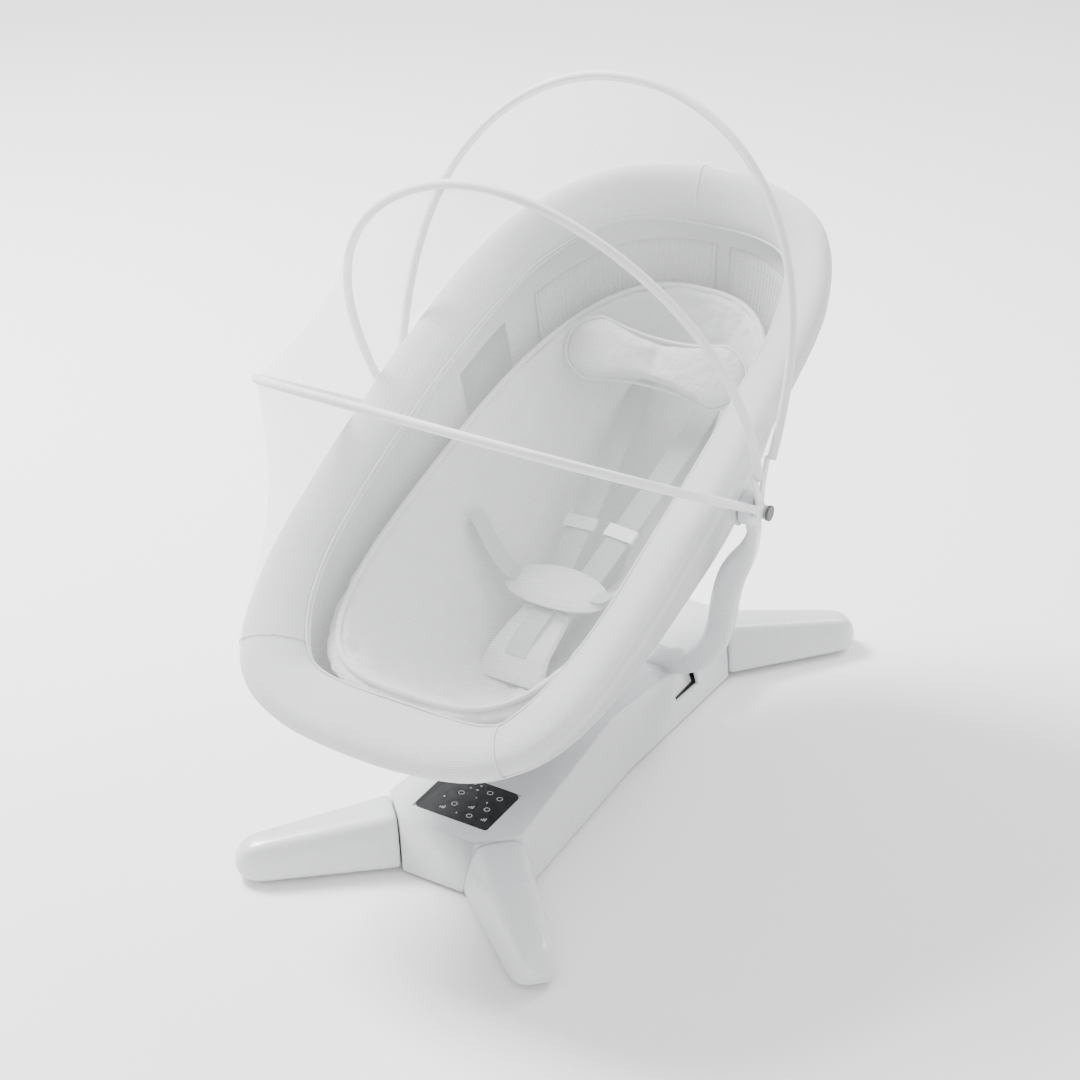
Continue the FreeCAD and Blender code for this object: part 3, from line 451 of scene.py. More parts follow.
@dataclass(frozen=True)
class Cloth:
    """A fabric with crossed threads, a slow drift of tone and a soft sheen."""

    name: str
    colour: tuple[float, float, float]
    pattern: Pattern = Pattern.KNIT
    per_metre: float = 600.0
    depth: float = 0.0004
    rough: float = 0.85
    mapped: bool = True
    alpha: float = 1.0

    def make(self) -> Material:
        """Return the material."""
        finish = Finish(self.name)
        rib, cross = THREAD_WEIGHTS.get(self.pattern, (1.0, 1.0))
        threads = finish.group(THREADS, "UV" if self.mapped else "Object",
                               Per_metre=self.per_metre, Rib=rib, Cross=cross)
        dark = tuple(c * 0.93 for c in self.colour)
        finish.ramp(threads.outputs["Drift"], dark, self.colour, "Base Color")
        height = threads.outputs["Height"]
        if self.pattern is Pattern.COTTON:
            place = finish.tree.nodes.new("ShaderNodeTexCoord")
            puckers = noise_node(finish.tree, place.outputs["Object"], Scale=120, Detail=4)
            soft = math_node(finish.tree, "MULTIPLY", puckers.outputs["Fac"], 1.6)
            height = math_node(finish.tree, "ADD", height, soft)
        finish.bump(height, self.depth, 0.7)
        put(finish.shader, Roughness=self.rough, Sheen_Weight=0.35, Sheen_Roughness=0.45)
        if self.alpha < 1:
            thread = math_node(finish.tree, "MULTIPLY", threads.outputs["Height"], VEIL_THREADS)
            veil = math_node(finish.tree, "ADD", thread, self.alpha)
            finish.tree.links.new(veil, finish.shader.inputs["Alpha"])
        return finish.material


FINISHES = {
    "shell": Moulded("white_shell", (0.70, 0.71, 0.725), 0.28, coat=0.4),
    "panel_glass": Moulded("black_panel", (0.004, 0.004, 0.005), 0.16, coat=0.25),
    "ink": Moulded("panel_ink", (0.75, 0.77, 0.8), 0.6),
    "rubber": Moulded("grey_rubber", (0.25, 0.255, 0.26), 0.8),
    "steel": Moulded("zinc_steel", (0.62, 0.63, 0.65), 0.32, metal=1.0),
    "frame_paint": Moulded("grey_paint", (0.7, 0.71, 0.72), 0.4, coat=0.2),
    "circuit": Moulded("circuit_board", (0.03, 0.16, 0.07), 0.5),
    "dark_plastic": Moulded("dark_plastic", (0.09, 0.092, 0.096), 0.5),
    "rim_fabric": Cloth("rim_knit", (0.66, 0.668, 0.68), Pattern.KNIT, 700, 0.0003),
    "bowl_fabric": Cloth("bowl_weave", (0.60, 0.608, 0.618), Pattern.KNIT, 520, 0.0004),
    "head_mesh": Cloth("ribbed_mesh", (0.66, 0.668, 0.675), Pattern.RIB, 170, 0.004),
    "grey_band": Cloth("grey_band", (0.23, 0.24, 0.25), Pattern.WEBBING, 420, 0.0006),
    "pad_fabric": Cloth("pad_cotton", (0.72, 0.725, 0.735), Pattern.COTTON, 600, 0.0022, mapped=False),
    "piping": Cloth("piping", (0.72, 0.725, 0.735), Pattern.WEBBING, 500, 0.0003),
    "webbing": Cloth("strap_webbing", (0.47, 0.50, 0.49), Pattern.WEBBING, 330, 0.0007),
    "net": Cloth("sheer_net", (0.97, 0.975, 0.985), Pattern.NET, 600, 0.0002, alpha=0.22),
    "hoop": Cloth("hoop_sleeve", (0.86, 0.865, 0.885), Pattern.KNIT, 800, 0.0002, rough=0.6),
}
MATERIALS = {key: finish.make() for key, finish in FINISHES.items()}


def dress(obj: Object, finish: str, body: str, slot: str, *nodes: str,
          ride: bool = True) -> Object:
    """Give a new piece its material, its body and the CAD nodes it stands for.

    Args:
        obj: the piece.
        finish: a key of MATERIALS.
        body: the CAD body that it rides on.
        slot: the record's material slot; not used.
        nodes: CAD nodes that it replaces.
        ride: False where the piece bends or flattens instead.

    Returns:
        The piece.
    """
    obj.data.materials.clear()
    obj.data.materials.append(MATERIALS[finish])
    if ride:
        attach(obj, body)
    if nodes:
        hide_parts(*nodes)
    log.info("piece %s", obj.name)
    return obj


def dress_pad(obj: Object, fabric: str, node: str) -> None:
    """Subdivide a padded piece of the seat and give it its fabric."""
    subdivide(obj)
    dress(obj, fabric, "seat", fabric, node)


def cord(name: str, line: Sequence[Vector], radius: float, slot: str, sides: int = 8,
         up: Vector = UP) -> None:
    """Make a closed loop of piping on the seat."""
    bm = bmesh.new()
    tube(bm, line, radius, sides, closed=True, up=up)
    dress(finish_object(name, bm), "piping", "seat", slot)


def dress_node(node: str, finish: str) -> None:
    """Give a CAD node a material."""
    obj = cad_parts[node]
    obj.data.materials.clear()
    obj.data.materials.append(MATERIALS[finish])


# ---- rim
@dataclass
class Section:
    """One cross section of the rim."""

    middle: Vector
    out: Vector
    up: Vector
    width: float


RIM_SEAMS = (("rim_seam_right", 1.45), ("rim_seam_left", 14), ("rim_seam_head", 8.25))
RIM_PIPING = (("rim_piping_edge", -1.0, 0.25, 1.7), ("rim_piping_inner", -0.9, 0.62, 1.3),
              ("rim_seam_under", 0.62, -0.86, 1.3))


@dataclass
class Rim:
    """The padded rim round the seat, with its piping and its seams."""

    thick: float = 36.0
    steps: int = 160
    turns: int = 16
    corner: float = 0.85
    pinches: tuple[float, ...] = (1.45, 14, 8)
    pinch_width: float = 0.7
    pinch_depth: float = 0.045
    seam_lift: float = 1.012
    table: dict[str, tuple[float, ...]] = field(default_factory=lambda: {
        "foot": (0, -357, -129, 85, 0), "toe": (100, -354, -121, 75, 2),
        "corner": (149, -322, -97, 67, 12), "hip": (176, -239, -48, 55, 21),
        "waist": (184, -98, 21, 54, 24), "arm": (182, 58, 89, 57, 32),
        "shoulder": (166, 189, 139, 60, 46), "crown": (110, 292, 169, 58, 74),
        "head": (0, 328, 174, 65, 85),
    })

    def __post_init__(self) -> None:
        """Work out the smooth run of sections."""
        right = list(self.table.values())
        loop = right + [(-row[0], *row[1:]) for row in right[-2:0:-1]]
        rows = smooth_line([Vector(row) for row in loop], self.steps, closed=True)
        self.sections: list[Section] = []
        for i, row in enumerate(rows):
            before, after = rows[i - 1], rows[(i + 1) % self.steps]
            along = (Vector(after[:3]) - Vector(before[:3])).normalized()
            level = along.cross(UP).normalized()
            rise = level.cross(along).normalized()
            tilt = math.radians(row[4])
            out = level * math.cos(tilt) + rise * math.sin(tilt)
            up = rise * math.cos(tilt) - level * math.sin(tilt)
            self.sections.append(Section(PIVOT + Vector(row[:3]), out, up, row[3]))

    def point(self, index: float, u: float, v: float) -> Vector:
        """Return a point of the section at an index, u across and v through, from -1 to 1."""
        section = self.sections[int(index) % self.steps]
        return section.middle + section.out * (u * section.width / 2) + section.up * (v * self.thick / 2)

    def pinch(self, index: int) -> float:
        """Return how far a section shrinks where a seam crosses the rim."""
        depth = max(math.exp(-((index - self.steps * place / self.turns) / self.pinch_width) ** 2)
                    for place in self.pinches)
        return 1 - self.pinch_depth * depth

    def build(self) -> None:
        """Make the padding, its piping and its seams."""
        outline = [squircle(t, self.corner) for t in circle(32)]
        rings = []
        for i in range(self.steps):
            tight = self.pinch(i)
            rings.append([self.point(i, u * tight, v * tight) for u, v in outline])
        padding = skinned("rim_cushion", rings, joined=True)
        wrinkle(padding, 0.0009, 22, 3.0, ridge=False)
        dress_pad(padding, "rim_fabric", "rim_padding")
        outline = [squircle(t, self.corner) for t in circle(40)]
        for name, place in RIM_SEAMS:
            place *= self.steps / self.turns
            ring = [self.point(place, self.seam_lift * u, self.seam_lift * v) for u, v in outline]
            cord(name, ring, 0.9, "rim_fabric", 6, self.sections[int(place)].out)
        for name, u, v, radius in RIM_PIPING:
            cord(name, [self.point(i, u, v) for i in range(self.steps)], radius, "rim_fabric")


# ---- bowl and mattress
Ring = tuple[float, float, float, float, float]


def bowl_ring(row: Sequence[float], count: int, inset: float = 0.0, lift: float = 0.0) -> list[Vector]:
    """Return a level egg-shaped ring of the seat, starting at the foot.

    Args:
        row: half width, foot y and z, head y and z, from the pivot.
        count: points round it.
        inset: how far it is moved in.
        lift: how far it is moved up.
    """
    half = row[0] - inset
    square = 0.78 - 0.22 * min(max((half - 100) / 40, 0), 1)
    foot = Vector((0, row[1] + inset, row[2] + lift))
    head = Vector((0, row[3] - inset, row[4] + lift))
    middle, reach = (foot + head) / 2, (head - foot) / 2
    ring = []
    for angle in circle(count):
        power = square if math.cos(angle) > 0 else 0.78
        u = signed_power(math.sin(angle), power) * half
        ring.append(PIVOT + middle - reach * signed_power(math.cos(angle), power) + Vector((u, 0, 0)))
    return ring


def columns_to_rows(rows: Sequence[Sequence[Vector]], count: int) -> list[list[Vector]]:
    """Pass a smooth line down each column of a few rows and return many rows."""
    columns = [smooth_line([row[i] for row in rows], count) for i in range(len(rows[0]))]
    return [[column[k] for column in columns] for k in range(count)]


@dataclass
class Bowl:
    """The seat's fabric bowl, its liner pieces and its hem."""

    rim: Rim
    round_count: int = 112
    rings: tuple[Ring, ...] = (
        (160, -324, -161, 324, 54), (130, -268, -221, 286, -61),
        (85, -191, -261, 194, -161), (30, -116, -273, 84, -226),
    )

    def mouth(self) -> list[Vector]:
        """Return the mouth's line, hidden inside the rim's padding."""
        ring = [min(self.rim.sections, key=lambda s: (s.middle.xy - spot.xy).length).middle
                for spot in bowl_ring(self.rings[0], self.round_count)]
        return [sum((ring[(i + k) % self.round_count] for k in range(-2, 3)), Vector()) / 5
                for i in range(self.round_count)]

    def rows(self, count: int, inset: float = 0.0) -> list[list[Vector]]:
        """Return rows from the mouth down to the floor."""
        lower = [bowl_ring(row, self.round_count, inset, inset * k / 2) for k, row in enumerate(self.rings)]
        return columns_to_rows([self.mouth()] + lower, count)

    def liner(self, name: str, finish: str, spread: Callable[[int], bool], first: int, last: int) -> None:
        """Make a piece of lining just inside the bowl.

        Args:
            name: the piece's name.
            finish: its material.
            spread: which columns it covers.
            first: its top row.
            last: its bottom row.
        """
        rows = self.rows(41, 7.0)[first:last]
        ids = [i for i in range(-self.round_count // 2, self.round_count // 2) if spread(i)]
        for side, group in (("left", [i for i in ids if i < 0]), ("right", [i for i in ids if i >= 0])):
            if len(group) < 2:
                continue
            columns = [[row[i % self.round_count] for i in group] for row in rows]
            piece = skinned("%s_%s" % (name, side), columns, round_ring=False)
            add_modifier(piece, "SOLIDIFY", thickness=0.0012, offset=0)
            dress(piece, finish, "seat", "bowl_fabric")
            apply_modifiers(piece)

    def build(self) -> None:
        """Make the bowl, its seam piping, the mesh at the head end and the two bands."""
        bm = bmesh.new()
        rows = self.rows(44)
        skin(bm, rows)
        bottom = [e for e in bm.edges if e.is_boundary and e.calc_length() < 12
                  and (e.verts[0].co - rows[-1][0]).length < 260 and e.verts[0].co.z < 150]
        filled = bmesh.ops.edgeloop_fill(bm, edges=bottom)["faces"]
        bmesh.ops.poke(bm, faces=filled)
        bmesh.ops.recalc_face_normals(bm, faces=bm.faces)
        shell = finish_object("seat_bowl", bm)
        wrinkle(shell, 0.0016, 9, 8.0, ridge=False)
        add_modifier(shell, "SOLIDIFY", thickness=0.003, offset=-1)
        dress(shell, "bowl_fabric", "seat", "bowl_fabric", "bowl")
        apply_modifiers(shell)
        for name, level, radius in (("bowl_side_seam", 7, 1.6), ("bowl_hem", 19, 2.2)):
            cord(name, rows[level], radius, "bowl_fabric")
        half = self.round_count // 2
        self.liner("head_mesh", "head_mesh", lambda i: abs(i) > half * 0.66, 5, 22)
        self.liner("grey_band", "grey_band", lambda i: half * 0.535 < abs(i) < half * 0.62, 5, 24)


@dataclass
class Mattress:
    """The quilted mattress that lines the bowl."""

    count: int = 168
    thick: float = 24.0
    rings: tuple[Ring, ...] = (
        (153, -324, -122, 306, 67), (128, -276, -174, 274, -31),
        (88, -196, -211, 199, -126), (40, -121, -226, 84, -191),
    )

    def build(self) -> None:
        """Make the mattress and its bound edge."""
        top = [bowl_ring(row, self.count, self.thick * 0.75, self.thick * (0.35 if k == 0 else 0.8))
               for k, row in enumerate(self.rings)]
        low = [bowl_ring(row, self.count, 1.0, 0.0) for row in self.rings]
        centre_top = sum(top[-1], Vector()) / self.count
        centre_low = sum(low[-1], Vector()) / self.count
        small = [[centre_top + (p - centre_top) * 0.25 for p in top[-1]],
                 [centre_low + (p - centre_low) * 0.25 for p in low[-1]]]
        upper = columns_to_rows([small[0]] + top[::-1], 54)
        lip = [(a + b) / 2 + Vector((0, 0, 5)) for a, b in zip(top[0], low[0])]
        lower = columns_to_rows(low + [small[1]], 26)
        pad = skinned("mattress_quilt", upper + [lip] + lower, cap=True)
        for vert in pad.data.vertices:
            swell = noise.noise(vert.co * 15 + Vector((5, 1, 2)))
            pucker = 0.5 - 2 * abs(noise.noise(vert.co * 40))
            fine = 0.5 - 2 * abs(noise.noise(vert.co * 95 + Vector((9, 9, 9))))
            vert.co += vert.normal * (0.002 * swell + 0.0034 * pucker + 0.0018 * fine)
        dress_pad(pad, "pad_fabric", "mattress")
        edge = [(a * 0.8 + b * 0.2) + Vector((0, 0, 1.5)) for a, b in zip(lip, top[0])]
        cord("mattress_binding", edge, 3.2, "pad_fabric", 10)


# ---- harness and pillow
STRAP_SHAPE = ((-1, -0.3), (-0.96, -0.5), (-0.5, -0.5), (0, -0.5), (0.5, -0.5), (0.96, -0.5), (1, -0.3),
               (1, 0.3), (0.95, 0.5), (0.88, 0.55), (0.84, 0.36), (0.4, 0.5), (-0.4, 0.5),
               (-0.84, 0.36), (-0.88, 0.55), (-0.95, 0.5), (-1, 0.3))
SHOULDER_LINE = ((15, -16, -150), (17, -2, -148), (24, 58, -119), (32, 128, -84), (40, 200, -46),
                 (44, 243, -20))
WAIST_LINE = ((44, -27, -137), (60, -26, -134), (80, -24, -114), (95, -22, -92), (104, -21, -80))
CROTCH_LINE = ((-112, -22), (-100, -12), (-84, -2), (-60, 2), (-36, 4), (-22, 6))
CROTCH_STRAP_LINE = ((-92, -7), (-70, 1), (-46, 4), (-26, 6))
BELLY_RINGS = ((0.02, 4.6), (0.3, 4.6), (0.6, 4.5), (0.78, 4.1), (0.83, 2.5), (0.88, 3.3), (0.96, 2.6),
               (1.0, 0.2), (0.96, -2.4), (0.6, -4.4), (0.02, -4.6))
PILLOW_RINGS = ((0.03, 9), (0.35, 11), (0.65, 11.5), (0.85, 9), (0.96, 5), (1.0, 0),
                (0.96, -5), (0.85, -9), (0.5, -11), (0.03, -10))


def widest(table: Sequence[tuple[float, float]], rings: Sequence[list[Vector]]) -> list[Vector]:
    """Return the ring of a pad whose share of the full outline is 1."""
    return next(ring for (share, _), ring in zip(table, rings) if share == 1.0)


@dataclass
class Harness:
    """Straps, buckle cover and crotch pad, in a leaning frame above the mattress."""

    lean: float = 11.3
    belly_half: tuple[float, float] = (58.5, 30.0)
    origin: Vector = field(default_factory=lambda: PIVOT + Vector((0, -26, -156)))

    def spot(self, x: float, v: float, w: float) -> Vector:
        """Return a point v up the slope and w out of it."""
        return self.origin + Matrix.Rotation(math.radians(self.lean), 3, "X") @ Vector((x, v, w))

    def ribbon(self, name: str, line: Sequence[Vector], half: float, thick: float,
               nodes: Sequence[str] = (), look: str = "webbing",
               taper: Callable[[float], float] = lambda t: 1.0,
               side_of: Vector = Vector((1, 0, 0)), cup: float = 0.0) -> Object:
        """Make a flat strap along a line with bound edges.

        Args:
            name: the piece's name.
            line: its middle line.
            half: its half width.
            thick: its thickness.
            nodes: CAD nodes that it replaces.
            look: its material.
            taper: its width as a share along its length.
            side_of: roughly which way its width runs.
            cup: how far its edges bend down.

        Returns:
            The strap.
        """
        rings = []
        for i, spot in enumerate(line):
            along = (line[min(i + 1, len(line) - 1)] - line[max(i - 1, 0)]).normalized()
            lift = side_of.cross(along).normalized()
            side = along.cross(lift).normalized()
            wide = half * taper(i / (len(line) - 1))
            rings.append([spot + side * (u * wide) + lift * (v * thick - cup * u * u)
                          for u, v in STRAP_SHAPE])
        strap = skinned(name, rings, cap=True)
        subdivide(strap)
        return dress(strap, look, "seat", look, *nodes)

    def build(self) -> None:
        """Make every strap and pad of the harness."""
        for name, side in (("left", -1), ("right", 1)):
            shoulder, waist = ([PIVOT + Vector((side * x, y, z)) for x, y, z in line]
                               for line in (SHOULDER_LINE, WAIST_LINE))
            self.ribbon(name + "_shoulder_webbing", smooth_line(shoulder, 40), 14, 2.2,
                        [name + "_shoulder_strap"], cup=0.8)
            self.ribbon(name + "_waist_webbing", smooth_line(waist, 24), 12.5, 2.2,
                        [name + "_waist_strap"], side_of=Vector((0, -side, 0)), cup=0.8)
        line = [self.spot(0, v, w) for v, w in CROTCH_LINE]
        pad = self.ribbon("crotch_cover", smooth_line(line, 32), 40, 8, ["crotch_pad"], "pad_fabric",
                          taper=lambda t: 1 - 0.33 * t, cup=5)
        line = [self.spot(0, v, w + 4.6) for v, w in CROTCH_STRAP_LINE]
        self.ribbon("crotch_webbing", smooth_line(line, 24), 12.5, 1.6)
        self.belly()

    def belly(self) -> None:
        """Make the oval belly pad with its stitched border and its binding."""
        rings = []
        for share, height in BELLY_RINGS:
            ring = []
            for angle in circle(72):
                x = self.belly_half[0] * share * math.cos(angle)
                v = self.belly_half[1] * share * math.sin(angle)
                bend = 2.4 - x * x * 0.0014 - v * v * 0.0012
                ring.append(self.spot(x, v, 16.5 + height + bend))
            rings.append(ring)
        dress_pad(skinned("belly_cover", rings, cap=True), "pad_fabric", "belly_pad")
        cord("belly_binding", widest(BELLY_RINGS, rings), 1.9, "pad_fabric")


@dataclass
class Pillow:
    """The butterfly head pillow."""

    tilt: float = 58.0
    half_width: float = 108.0
    half_height: float = 43.0
    middle: Vector = field(default_factory=lambda: PIVOT + Vector((0, 190, 30)))

    def build(self) -> None:
        """Make two swollen wings joined by a flat middle, with piping round the edge."""
        rings = []
        turn = Matrix.Rotation(math.radians(self.tilt), 4, "X")
        for share, height in PILLOW_RINGS:
            ring = []
            for angle in circle(96):
                c, s = math.cos(angle), math.sin(angle)
                waist = 0.60 + 0.40 * min(1.0, abs(c) * 1.55) ** 2
                x = self.half_width * signed_power(c, 0.8)
                y = self.half_height * signed_power(s, 0.75) * waist
                puff = 0.55 + 0.45 * min(1.0, abs(x * share) / 40)
                spot = turn @ Vector((x * share, y * share, height * puff + abs(x * share) * 0.10))
                ring.append(self.middle + spot)
            rings.append(ring)
        pillow = skinned("pillow_wings", rings, cap=True)
        inflate(pillow, 0.0045, 3.0, 0.006)
        wrinkle(pillow, 0.0006, 60, 4.0)
        dress_pad(pillow, "pad_fabric", "head_pillow")
        cord("pillow_piping", widest(PILLOW_RINGS, rings), 1.8, "pad_fabric")


# ---- hood
@dataclass
class Hoop:
    """One hoop of the hood."""

    name: str
    angle: float
    rise: float
    square: float
    bulge: float
    half: float

    def point(self, a: float, grow: float = 0.0) -> Vector:
        """Return a point of the hoop at an angle round it, from 0 to pi."""
        power = 2 / self.square
        c, s = math.cos(a), math.sin(a)
        x = signed_power(c, power) * self.half * (1 + self.bulge * math.sin(2 * min(a, math.pi - a)))
        r = self.rise * s ** power + grow
        lean = math.radians(self.angle)
        return PIVOT + Vector((x, -r * math.cos(lean), r * math.sin(lean)))

    def start(self, reach: float) -> float:
        """Return the angle round the hoop at which it is this far from the axis."""
        return math.asin((reach / self.rise) ** (self.square / 2))

    def line(self, reach: float, count: int, grow: float = 0.0) -> list[Vector]:
        """Return evenly parted points from one side to the other."""
        first = self.start(reach)
        return [self.point(first + (math.pi - 2 * first) * i / (count - 1), grow) for i in range(count)]


@dataclass
class Hood:
    """Three hoops in fabric sleeves and the sheer net between them."""

    rim: Rim
    count: int = 73
    fine: int = 97
    sleeve_from: float = 54.0
    seam_from: float = 70.0
    net_from: float = 62.0
    sag: float = 0.05
    flats: dict[str, tuple[float, float]] = field(default_factory=dict)

    def __post_init__(self) -> None:
        """Place the hoops."""
        self.rear = Hoop("rear", 106.9, 391, 2.27, 0.132, 213.0)
        self.middle = Hoop("middle", 64.9, 390, 2.05, 0.148, 216.4)
        self.front = Hoop("front", 30.4, 374, 3.41, 0.091, 219.8)

    def net(self, name: str, lines: Sequence[Sequence[Vector]], sag: float, rows: int = 14) -> Object:
        """Make a net that hangs in between two lines.

        Args:
            name: the piece's name.
            lines: its two edges, with as many points each.
            sag: how far it falls in between them, as a share of its distance from the pivot.
            rows: how many rows it has.

        Returns:
            The net.
        """
        table = []
        for k in range(rows):
            part = k / (rows - 1)
            row = []
            for i, (a, b) in enumerate(zip(*lines)):
                spot = a.lerp(b, part)
                flank = math.sin(math.pi * i / (len(lines[0]) - 1))
                pull = sag * math.sin(math.pi * part) * (0.4 + 0.6 * flank)
                row.append(PIVOT + (spot - PIVOT) * (1 - pull))
            table.append(row)
        length = max(sum((b - a).length for a, b in zip(row, row[1:])) for row in table)
        columns = list(zip(*table))
        width = max(sum((b - a).length for a, b in zip(line, line[1:])) for line in columns)
        self.flats[name] = (round(width * MM, 3), round(length * MM, 3))
        return skinned(name, table, round_ring=False)

    def fan(self, net: Object, low: float, high: float) -> None:
        """Spread a net's bend evenly by angle about the hoops' axis."""
        weights = net.data.attributes["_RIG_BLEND"].data
        for vert, weight in zip(net.data.vertices, weights):
            away = vert.co / MM - PIVOT
            angle = math.degrees(math.atan2(away.z, -away.y))
            weight.value = min(max((angle - low) / (high - low), 0), 1)

    def cloth(self, net: Object, held: str, *rests: str) -> None:
        """Take a net and what it hangs from, and leave them as they are."""

    def build(self) -> None:
        """Make the sleeves and the nets."""
        for hoop in (self.rear, self.middle, self.front):
            body = hoop.name + "_hoop"
            for part, line, radius, sides, finish, nodes in (
                    ("_sleeve", hoop.line(self.sleeve_from, self.fine), 4.6, 14, "hoop", [body]),
                    ("_sleeve_seam", hoop.line(self.seam_from, self.fine, -4.9), 0.8, 6, "piping", [])):
                bm = bmesh.new()
                tube(bm, line, radius, sides, up=Vector((0, -1, 0.3)))
                dress(finish_object(hoop.name + part, bm), finish, body, "hoop", *nodes)
        for name, low, high, node in (("net_back_panel", self.rear, self.middle, "net_rear"),
                                      ("net_top_panel", self.middle, self.front, "net_middle")):
            bodies = (low.name + "_hoop", high.name + "_hoop")
            edges = [hoop.line(self.net_from, self.count) for hoop in (low, high)]
            panel = self.net(name, edges, self.sag)
            dress(panel, "net", bodies[0], "net", node, ride=False)
            self.cloth(panel, "stretched", low.name + "_sleeve", high.name + "_sleeve")
            start, end = (tuple(hoop.point(math.pi / 2) * MM) for hoop in (low, high))
            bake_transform(panel, *bodies, start=start, end=end)
            self.fan(panel, low.angle, high.angle)
        self.skirts()

    def rim_line(self, first: float, last: float) -> list[Vector]:
        """Return points just outside the rim's edge between two places round it."""
        places = [first + (last - first) * i / (self.count - 1) for i in range(self.count)]
        return [self.rim.point(p * self.rim.steps / self.rim.turns, 1.04, 0.1) for p in places]

    def skirts(self) -> None:
        """Make the net's fall to the foot end and to the head end of the rim."""
        hem = self.rim_line(4.2, -4.2)
        front = self.net("net_front_skirt", (self.front.line(80, self.count), hem), 0.07, 18)
        dress(front, "net", "front_hoop", "net")
        self.cloth(front, "draped", "front_sleeve", "rim_cushion")
        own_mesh(front)
        hem = self.rim_line(5.2, 10.8)
        rear = self.net("net_rear_skirt", (self.rear.line(95, self.count), hem), 0.03, 12)
        dress(rear, "net", "seat", "net", ride=False)
        self.cloth(rear, "draped", "rear_sleeve", "rim_cushion")
        start = self.rim.point(self.rim.steps / 2, 1, 0) * MM
        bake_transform(rear, "seat", "rear_hoop", start=tuple(start), end=tuple(self.rear.point(math.pi / 2) * MM))
        self.fan(rear, 148.0, self.rear.angle)


# ---- base and yoke
ICONS = ((-4, 24, "grid"), (14, 22, "ring"), (28, 18, "ring"), (-12, 8, "ring"), (-24, -6, "dot"),
         (-8, -12, "ring"), (10, -8, "bars"), (26, -4, "ring"), (-16, -22, "bars"), (2, -24, "dot"),
         (16, -22, "ring"), (32, -20, "bars"), (20, 6, "dot"), (6, 8, "dot"))
ICON_PLATES = {
    "bars": [(x, tall / 2 - 2.5, 0.9, tall) for x, tall in ((-2, 2.2), (0, 3.6), (2, 5))],
    "grid": [(x, y, *size) for x in (-4, 4) for y in (-4, 4) for size in ((3, 0.6), (0.6, 3))],
}


LEG_STEPS = (0.0, 0.03, 0.2, 0.4, 0.6, 0.78, 0.88, 0.935, 0.968, 0.988, 0.998)


